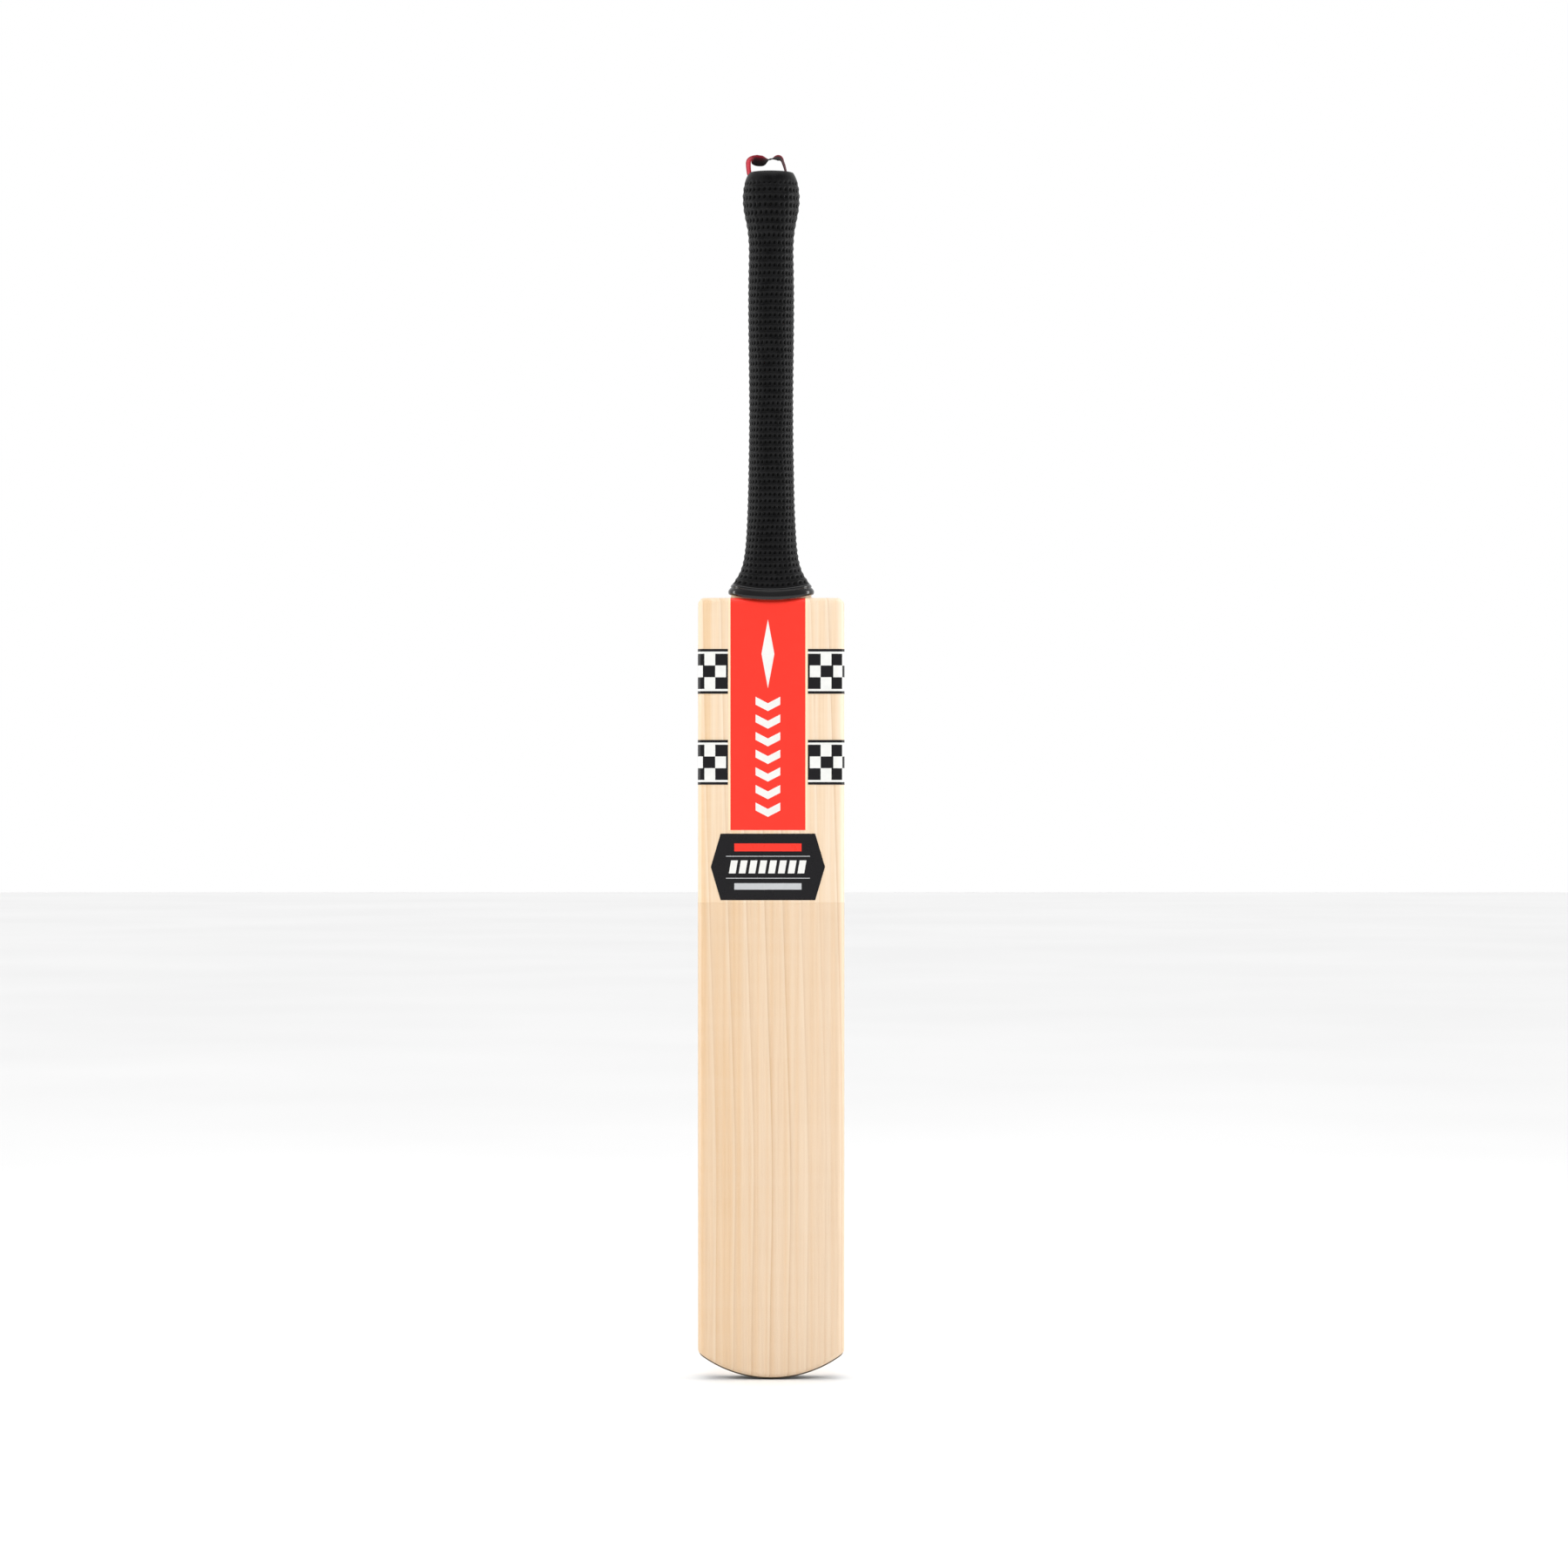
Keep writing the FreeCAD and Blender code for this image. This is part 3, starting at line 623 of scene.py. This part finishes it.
# Above every part of the sleeve's curved foot
FLARE_LEVEL = GRIP_FOOT + 5 * MM
# Stands in where no surface is met
NARROWEST = 16 * MM
# The dimples fade out below the rim
PITS_TOP = height(858)
PITS_FADE = 4 * MM
# Just below the top edge of the rim
RIM_CLEARANCE = 0.2 * MM
# Height between rows of dimples, by the height where that spacing starts
ROW_PITCHES = ((0.0, 4.65 * MM), (height(705), 4.9 * MM), (height(780), 5.4 * MM))


def row_levels():
    """Heights of the ridges between rows of dimples, from the collar up to the rim."""
    levels = [GRIP_FOOT]
    while levels[-1] < PITS_TOP:
        pitch = ROW_PITCHES[0][1]
        for start, spacing in ROW_PITCHES[1:]:
            if levels[-1] > start:
                pitch = spacing
        levels.append(levels[-1] + pitch)
    levels[-1] = PITS_TOP
    return levels


def grip_point(tree, angle, base_level):
    """Outer surface of the smooth grip where a row at base_level crosses this direction."""
    fade = 1 - smooth_step(base_level, GRIP_FOOT, LEVEL_FROM)
    level = base_level
    radius = outer_radius(tree, angle, max(base_level, FLARE_LEVEL), NARROWEST)
    for _ in range(SETTLING_ROUNDS):
        climb = climb_at(abs(radius * math.cos(angle)))
        level = base_level + climb * fade
        probe = max(level, GRIP_FOOT + climb + FOOT_CLEARANCE)
        radius = outer_radius(tree, angle, min(probe, RIM_TOP - RIM_CLEARANCE), radius)
    return radius, level


def pit_profile(share_across, share_up):
    """Height of the ridge and depth of the dimple at a place in a cell, both from 0 to 1."""
    up = (share_up - 0.5) / PIT_TALL
    across = (share_across - 0.5 - PIT_SLANT * up) / PIT_WIDE
    reach = across * across + up * up
    pit = max(0.0, 1 - reach) ** PIT_ROUNDING
    ridge = (0.5 + 0.5 * math.cos(2 * math.pi * share_up)) ** RIDGE_SHARPNESS
    return ridge, pit


def skirt_point(point):
    """Where the sleeve's foot carries on, out of sight inside the collar."""
    reach = point.xy.length
    outward = 1 + (SKIRT_FLARE * abs(point.x) / reach - SKIRT_INSET) / reach
    return (point.x * outward, point.y * outward, point.z - SKIRT)


def make_grip(material):
    """The rubber sleeve with its rings of dimples, thick rolled rim and open top."""
    tree = surface_of("grip")
    columns = PIT_COLUMNS * STEPS_ACROSS
    levels = row_levels()
    rings = []
    hollow_shades = []
    for number, (low, high) in enumerate(zip(levels, levels[1:])):
        offset = ROW_TURN * math.sin(number * ROW_TURN_STEP)
        for step in range(STEPS_UP):
            share_up = step / STEPS_UP
            base_level = low + (high - low) * share_up
            plain = smooth_step(base_level, PITS_TOP - PITS_FADE, PITS_TOP)
            ring = []
            for column in range(columns):
                angle = 2 * math.pi * column / columns
                radius, level = grip_point(tree, angle, base_level)
                share_across = (column / STEPS_ACROSS + offset) % 1.0
                ridge, pit = pit_profile(share_across, share_up)
                relief = (ridge * RIDGE - pit * PIT_DEPTH) * (1 - plain)
                radius += relief + RELIEF_FLOOR * (1 - plain)
                ring.append((radius * math.cos(angle), radius * math.sin(angle), level))
                hollow_shades.append(pit * (1 - plain))
            rings.append(ring)
    rings += rim_rings(tree, columns)
    rings.insert(0, [skirt_point(Vector(point)) for point in rings[0]])
    hollow_shades = [0.0] * columns + hollow_shades
    sleeve = ring_skin("grip_dimpled", rings, material)
    # Each point's dimple depth, read by the rubber for its painted shade
    dimple = sleeve.data.attributes.new("dimple", "FLOAT", "POINT")
    hollow_shades += [0.0] * (len(sleeve.data.vertices) - len(hollow_shades))
    dimple.data.foreach_set("value", hollow_shades)
    return sleeve


# The opening in the rim: half width, half depth, how far it sits off the axis, and its floor
OPENING_WIDE = 13.7 * MM
OPENING_DEEP = 12.8 * MM
RIM_OFFSET = -1.3 * MM
OPENING_FLOOR = height(851.5)
RIM_LEVELS = (height(859.5), height(861), height(862.3), height(863.2), height(863.8))
# From the rim over its lip and down the inside: share of the way out to the rim, and height
LIP = (
    (0.55, RIM_TOP),
    (0.15, RIM_TOP - 0.15 * MM),
    (0.0, RIM_TOP - 0.8 * MM),
    (0.0, height(857)),
    (0.0, OPENING_FLOOR),
)


def rim_rings(tree, columns):
    """From the last row of dimples over the rolled rim and down inside the opening."""
    rings = []
    for level in RIM_LEVELS:
        ring = []
        for column in range(columns):
            angle = 2 * math.pi * column / columns
            radius = outer_radius(tree, angle, level, NARROWEST)
            ring.append((radius * math.cos(angle), radius * math.sin(angle), level))
        rings.append(ring)
    outer = rings[-1]
    for share, level in LIP:
        ring = []
        for column in range(columns):
            angle = 2 * math.pi * column / columns
            across = RIM_OFFSET + OPENING_WIDE * math.cos(angle)
            inner = Vector((across, OPENING_DEEP * math.sin(angle), 0))
            point = inner.lerp(Vector(outer[column]), share)
            ring.append((point.x, point.y, level))
        rings.append(ring)
    return rings


grip = make_grip(grip_rubber("grip_rubber"))
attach(grip, ROOT)
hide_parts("grip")

# ---------------------------------------------------------------- collar

# Section of the ring, from its foot round the outside: mm outward, and share of its height
COLLAR_PROFILE = (
    (-2.4, 0.0),
    (-0.6, 0.0),
    (-0.1, 0.03),
    (0.25, 0.12),
    (0.42, 0.26),
    (0.38, 0.42),
    (0.1, 0.56),
    (-0.35, 0.65),
    (-0.5, 0.70),
    (-0.3, 0.74),
    (0.1, 0.77),
    (0.3, 0.83),
    (0.25, 0.91),
    (0.0, 0.98),
    (-0.6, 1.02),
    (-2.4, 1.02),
)
COLLAR_COLUMNS = 160
COLLAR_USUAL = 25 * MM
# The lowest and highest shares of the collar's height where its surface is looked up
COLLAR_SURE = (0.3, 0.93)


def make_collar(material):
    """The glossy ring at the grip's foot: a full lower lip, a waist and a thin upper bead."""
    tree = surface_of("grip_collar")
    lowest, highest = COLLAR_SURE
    rings = []
    for outward, share in COLLAR_PROFILE:
        ring = []
        for column in range(COLLAR_COLUMNS):
            angle = 2 * math.pi * column / COLLAR_COLUMNS
            radius = COLLAR_USUAL
            for _ in range(SETTLING_ROUNDS):
                foot = COLLAR_FOOT + climb_at(abs(radius * math.cos(angle)))
                level = foot + COLLAR_HEIGHT * share
                probe = foot + COLLAR_HEIGHT * min(highest, max(lowest, share))
                radius = outer_radius(tree, angle, probe, radius)
            reach = radius + outward * MM
            ring.append((reach * math.cos(angle), reach * math.sin(angle), level))
        rings.append(ring)
    return ring_skin("collar_ring", rings, material, join_ends=True)


collar = make_collar(gloss_black("collar_gloss"))
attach(collar, ROOT)
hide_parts("grip_collar")

# ---------------------------------------------------------------- ribbon loop

# Control points of the ribbon's line: across the handle and above the toe, in mm
RIBBON_ROUTE = (
    (-15.4, 838.0),
    (-15.4, 848.0),
    (-14.6, 858.5),
    (-16.4, 866.5),
    (-16.4, 875.4),
    (-8.8, 872.3),
    (-0.6, 873.9),
    (7.0, 875.8),
    (10.2, 867.0),
    (11.5, 858.5),
    (15.4, 848.0),
    (15.4, 838.0),
)
RIBBON_WIDTH = 8.0 * MM
RIBBON_THICK = 0.8 * MM
# Steps across the ribbon's width; its edges, beyond this share of the half width, are thinner
RIBBON_STEPS = 12
RIBBON_EDGE = 0.95
EDGE_THINNING = 0.75
# Turn of the ribbon about its own line, in degrees from edge-on, at shares of its length
RIBBON_TWIST = (
    (0.0, 0.0),
    (0.2, 6.0),
    (0.28, 20.0),
    (0.37, 24.0),
    (0.435, 88.0),
    (0.46, 80.0),
    (0.53, 4.0),
    (0.595, 36.0),
    (0.64, 14.0),
    (0.74, 8.0),
    (1.0, 0.0),
)


def ribbon_line():
    """Points along the smooth spline whose control points are the route."""
    curve = bpy.data.curves.new("ribbon_route", "CURVE")
    curve.dimensions = "3D"
    spline = curve.splines.new("NURBS")
    spline.points.add(len(RIBBON_ROUTE) - 1)
    for point, (across, up) in zip(spline.points, RIBBON_ROUTE):
        point.co = (across * MM, 0, height(up), 1)
    spline.order_u = 3
    spline.use_endpoint_u = True
    spline.resolution_u = 16
    holder = bpy.data.objects.new("ribbon_route", curve)
    line = bpy.data.meshes.new_from_object(holder)
    points = [vertex.co.copy() for vertex in line.vertices]
    bpy.data.objects.remove(holder)
    bpy.data.meshes.remove(line)
    return points


def value_at(table, share):
    """The value at a place in a table of (place, value), eased from one row to the next."""
    for (low, first), (high, second) in zip(table, table[1:]):
        if share <= high:
            return first + (second - first) * smooth_step(share, low, high)
    return table[-1][1]


def ribbon_outline():
    """The ribbon's section: out across its front, then back across its other side."""
    outline = []
    for front, steps in ((1, range(RIBBON_STEPS + 1)), (-1, range(RIBBON_STEPS, -1, -1))):
        for step in steps:
            share = -1 + 2 * step / RIBBON_STEPS
            thinning = EDGE_THINNING if abs(share) > RIBBON_EDGE else 1.0
            outline.append((share * RIBBON_WIDTH / 2, front * RIBBON_THICK / 2 * thinning))
    return outline


def make_ribbon(material, points):
    """A flat woven ribbon with soft edges that follows the line and turns on itself once."""
    lengths = [0.0]
    for first, second in zip(points, points[1:]):
        lengths.append(lengths[-1] + (second - first).length)
    outline = ribbon_outline()
    rings = []
    for index, point in enumerate(points):
        before = points[max(0, index - 1)]
        after = points[min(len(points) - 1, index + 1)]
        along = (after - before).normalized()
        twist = math.radians(value_at(RIBBON_TWIST, lengths[index] / lengths[-1]))
        turn = Matrix.Rotation(twist, 3, along)
        wide = turn @ Vector((0, 1, 0))
        thick = along.cross(wide)
        rings.append([tuple(point + wide * x + thick * y) for x, y in outline])
    ribbon = ring_skin("ribbon_loop", rings, material)
    mesh = ribbon.data
    count = len(outline)
    end_caps = bmesh.new()
    end_caps.from_mesh(mesh)
    end_caps.verts.ensure_lookup_table()
    end_caps.faces.new([end_caps.verts[index] for index in range(count)][::-1])
    last = len(rings) - 1
    end_caps.faces.new([end_caps.verts[last * count + index] for index in range(count)])
    store_weave(end_caps, count, lengths)
    end_caps.to_mesh(mesh)
    end_caps.free()
    return ribbon


def store_weave(mesh, count, lengths):
    """Keep each point's place across and along the ribbon for the weave to read."""
    layer = mesh.loops.layers.uv.new("weave")
    mesh.verts.ensure_lookup_table()
    half = count // 2
    for face in mesh.faces:
        for loop in face.loops:
            place = loop.vert.index % count
            across = place if place < half else count - 1 - place
            loop[layer].uv = (across / (half - 1), lengths[loop.vert.index // count] / lengths[-1])


# Ribs along the whole ribbon and threads across its width
RIBS = 190
WARPS = 18
# Colours from one edge of the ribbon to the other
BODY_ACROSS = (
    (0.0, srgb(12, 6, 7)),
    (0.45, srgb(24, 8, 11)),
    (0.7, srgb(66, 12, 22)),
    (0.85, srgb(126, 18, 36)),
    (1.0, srgb(140, 22, 42)),
)
# Painted light: the left leg is a lit copy of the ribbon's red, with a painted highlight down its
# middle
LIT_LEG_ACROSS = (
    (0.0, srgb(176, 18, 40)),
    (0.4, srgb(206, 26, 50)),
    (0.5, srgb(226, 96, 112)),
    (0.6, srgb(204, 26, 50)),
    (1.0, srgb(150, 14, 34)),
)
# How far along the ribbon the left leg's painted lit red and the right leg's painted shade of dull
# maroon apply
LIT_LEFT_LEG = ((0.0, 1.0), (0.36, 1.0), (0.41, 0.0), (1.0, 0.0))
SHADED_RIGHT_LEG = ((0.0, 0.0), (0.6, 0.0), (0.68, 0.75), (1.0, 0.75))
SHADED_MAROON = srgb(84, 30, 40)
# Painted shade in the hollows between the woven threads
SHADE_BETWEEN_THREADS = (0.004, 0.002, 0.002)


def ribbon_weave(name):
    """Woven ribbon, red along one edge darkening to near black; painted light makes its left leg
    bright red with a painted highlight where it turns its face to the light, and painted shade
    turns its right leg dull maroon.
    """
    cloth = Shade(name, roughness=0.75, specular=0.2, sheen=0.04)
    uv = cloth.tree.nodes.new("ShaderNodeUVMap")
    uv.uv_map = "weave"
    split = cloth.tree.nodes.new("ShaderNodeSeparateXYZ")
    cloth.tree.links.new(uv.outputs[0], split.inputs[0])
    across, along, _ = split.outputs
    rib = cloth.math("SINE", cloth.mul(along, 2 * math.pi * RIBS))
    warp = cloth.math("SINE", cloth.mul(across, 2 * math.pi * WARPS))
    fluff = cloth.noise(cloth.stretched(1, 1, 1), scale=1500.0)
    body = cloth.ramp(across, BODY_ACROSS)
    leg = cloth.ramp(across, LIT_LEG_ACROSS)
    # Painted light and shade: the left leg is painted lit and the right leg painted shaded, both
    # copies of one ribbon
    colour = cloth.blend(cloth.ramp(along, LIT_LEFT_LEG), body, leg)
    colour = cloth.blend(cloth.ramp(along, SHADED_RIGHT_LEG), colour, SHADED_MAROON)
    # Painted shade: the colour darkens where the threads dip between ribs and warps
    weave = cloth.add(cloth.mul(rib, 0.5), cloth.mul(warp, 0.5))
    cloth.colour(cloth.blend(cloth.fit(weave, -1, 1, 0.0, 0.3), colour, SHADE_BETWEEN_THREADS))
    cloth.bump(cloth.add(cloth.add(rib, warp), fluff), 0.03 * MM, 0.5)
    return cloth.material


RIBBON_POINTS = ribbon_line()
ribbon = make_ribbon(ribbon_weave("ribbon_woven"), RIBBON_POINTS)
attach(ribbon, ROOT)
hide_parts("hang_loop")

# ---------------------------------------------------------------- printed shapes

PRINT_PROUD = 0.04 * MM


def flat_prints(name, outlines, material):
    """Thin plates of ink lying on the stickers of the face, one per outline of (across, height)."""
    vertices = []
    faces = []
    for outline in outlines:
        start = len(vertices)
        count = len(outline)
        for depth in (FACE - PRINT_PROUD, FACE + PRINT_PROUD):
            vertices += [(PRINT_MIDDLE + across * MM, depth, height(up)) for across, up in outline]
        faces.append(tuple(start + index for index in range(count)))
        faces.append(tuple(start + count + index for index in range(count))[::-1])
        for index in range(count):
            beside = (index + 1) % count
            back = start + count
            faces.append((start + index, back + index, back + beside, start + beside))
    thing = finished_mesh(name, vertices, faces, material, smooth=False)
    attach(thing, ROOT)
    return thing


def bar(left, right, foot, top, lean=0.0):
    """A four-sided bar whose top is pushed to the right by the lean."""
    return [(left, foot), (right, foot), (right + lean, top), (left + lean, top)]


def chevron(centre, foot, half, rise, thick):
    """A V of even thickness, pointing down."""
    return [
        (centre, foot),
        (centre + half, foot + rise),
        (centre + half, foot + rise + thick),
        (centre, foot + thick),
        (centre - half, foot + rise + thick),
        (centre - half, foot + rise),
    ]


def lozenge(centre, foot, half, tall):
    """A diamond standing on its point."""
    middle = foot + tall / 2
    return [(centre, foot), (centre + half, middle), (centre, foot + tall), (centre - half, middle)]


# Sizes of the printed shapes in mm, with heights above the toe
LOZENGE = {"foot": 494.0, "half": 4.6, "tall": 49.0}
CHEVRON = {"half": 8.8, "rise": 4.6, "thick": 5.6}
CHEVRON_COUNT = 7
CHEVRON_FOOT = 402.0
CHEVRON_STEP = 12.6
SLAT_COUNT = 8
SLAT_LEFT = -27.9
SLAT_STEP = 7.0
SLAT_WIDE = 4.8
SLAT_LEAN = 1.6
SLAT_FOOT = 361.6
SLAT_TOP = 370.9
STRIPE_HALF = 24.0
RED_STRIPE = (377.4, 383.0)
GREY_STRIPE = (350.0, 354.6)
RULE_HALF = 30.0
RULES = ((373.6, 374.1), (357.9, 358.4))


def print_label(white):
    """A diamond over a column of chevrons."""
    shapes = [lozenge(0.0, **LOZENGE)]
    for step in range(CHEVRON_COUNT):
        shapes.append(chevron(0.0, CHEVRON_FOOT + CHEVRON_STEP * step, **CHEVRON))
    marks = flat_prints("label_marks", shapes, white)


def print_badge(white):
    """Slanted bars between two thin lines, with a red stripe above and a grey one below."""
    slats = []
    for step in range(SLAT_COUNT):
        left = SLAT_LEFT + SLAT_STEP * step
        slats.append(bar(left, left + SLAT_WIDE, SLAT_FOOT, SLAT_TOP, lean=SLAT_LEAN))
    plates = flat_prints("badge_bars", slats, white)

    red = vinyl("ink_red", RED)
    stripe = flat_prints("badge_stripe", [bar(-STRIPE_HALF, STRIPE_HALF, *RED_STRIPE)], red)

    grey = vinyl("ink_grey", INK_GREY)
    rules = [bar(-STRIPE_HALF, STRIPE_HALF, *GREY_STRIPE)]
    rules += [bar(-RULE_HALF, RULE_HALF, *rule) for rule in RULES]
    lines = flat_prints("badge_rules", rules, grey)


ink_white = vinyl("ink_white", INK_WHITE)
print_label(ink_white)
print_badge(ink_white)

# ---------------------------------------------------------------- floor and light

FLOOR_DROP = 0.4 * MM
FLOOR_HALF = 14.0
FLOOR_LIGHT = (0.86, 0.86, 0.86)
FLOOR_DARK = (0.83, 0.83, 0.83)


def make_floor():
    """A wide pale floor just under the toe."""
    paint = Shade("floor_paint", roughness=0.85, specular=0.15)
    cloudy = paint.noise(paint.stretched(1, 1, 1), scale=1.3)
    paint.colour(paint.blend(paint.spread(cloudy, 0.0, 1.0), FLOOR_LIGHT, FLOOR_DARK))
    signs = ((-1, -1), (1, -1), (1, 1), (-1, 1))
    corners = [(x * FLOOR_HALF, y * FLOOR_HALF, TOE - FLOOR_DROP) for x, y in signs]
    floor = finished_mesh("floor", corners, [(0, 1, 2, 3)], paint.material, smooth=False)


def area_light(name, place, aim, wide, tall, power):
    """A rectangular soft light turned toward a point."""
    data = bpy.data.lights.new(name, "AREA")
    data.shape = "RECTANGLE"
    data.size = wide
    data.size_y = tall
    data.energy = power
    light = bpy.data.objects.new(name, data)
    bpy.context.collection.objects.link(light)
    light.location = place
    toward = Vector(aim) - Vector(place)
    light.rotation_euler = toward.to_track_quat("-Z", "Y").to_euler()
    return light


# Places in metres, sizes wide and tall in metres, powers in watts
BOX_LEFT = (-1.6, 0.1, AIM_HEIGHT + 0.1)
BOX_RIGHT = (1.6, 0.05, AIM_HEIGHT + 0.1)
BOX_SIZE = (0.34, 1.6)
BOX_LEFT_POWER = 8
BOX_RIGHT_POWER = 12
FRONT_PLACE = (0.0, -2.6, AIM_HEIGHT + 2.0)
FRONT_SIZE = (2.4, 1.6)
FRONT_POWER = 47
SKY_STRENGTH = 1.15
SKY_SPREAD = math.radians(60)
# The room's brightness in front of the bat and behind it, and the span it changes over
ROOM_FRONT = 0.4
ROOM_BEHIND = 1.0
ROOM_SPAN = (-0.5, 0.5)


def make_lights():
    """Two tall soft boxes out to the sides, a wide soft light over the camera, one from above."""
    middle = (0, 0, AIM_HEIGHT)
    area_light("box_left", BOX_LEFT, middle, *BOX_SIZE, BOX_LEFT_POWER)
    area_light("box_right", BOX_RIGHT, middle, *BOX_SIZE, BOX_RIGHT_POWER)
    front = area_light("front", FRONT_PLACE, middle, *FRONT_SIZE, FRONT_POWER)
    front.visible_glossy = False
    sun = bpy.data.lights.new("sky_panel", "SUN")
    sun.energy = SKY_STRENGTH
    sun.angle = SKY_SPREAD
    above = bpy.data.objects.new("sky_panel", sun)
    bpy.context.collection.objects.link(above)


def make_room():
    """A white room, brighter behind the bat than in front of it."""
    world = bpy.data.worlds.new("room")
    world.use_nodes = True
    nodes = world.node_tree.nodes
    links = world.node_tree.links
    direction = nodes.new("ShaderNodeTexCoord")
    parts = nodes.new("ShaderNodeSeparateXYZ")
    links.new(direction.outputs["Generated"], parts.inputs[0])
    level = nodes.new("ShaderNodeMapRange")
    links.new(parts.outputs[1], level.inputs[0])
    for socket, number in zip(level.inputs[1:5], (*ROOM_SPAN, ROOM_FRONT, ROOM_BEHIND)):
        socket.default_value = number
    background = nodes["Background"]
    background.inputs["Color"].default_value = (1, 1, 1, 1)
    links.new(level.outputs[0], background.inputs["Strength"])
    bpy.context.scene.world = world
    bpy.context.scene.view_settings.view_transform = "Standard"


make_floor()
make_lights()
make_room()
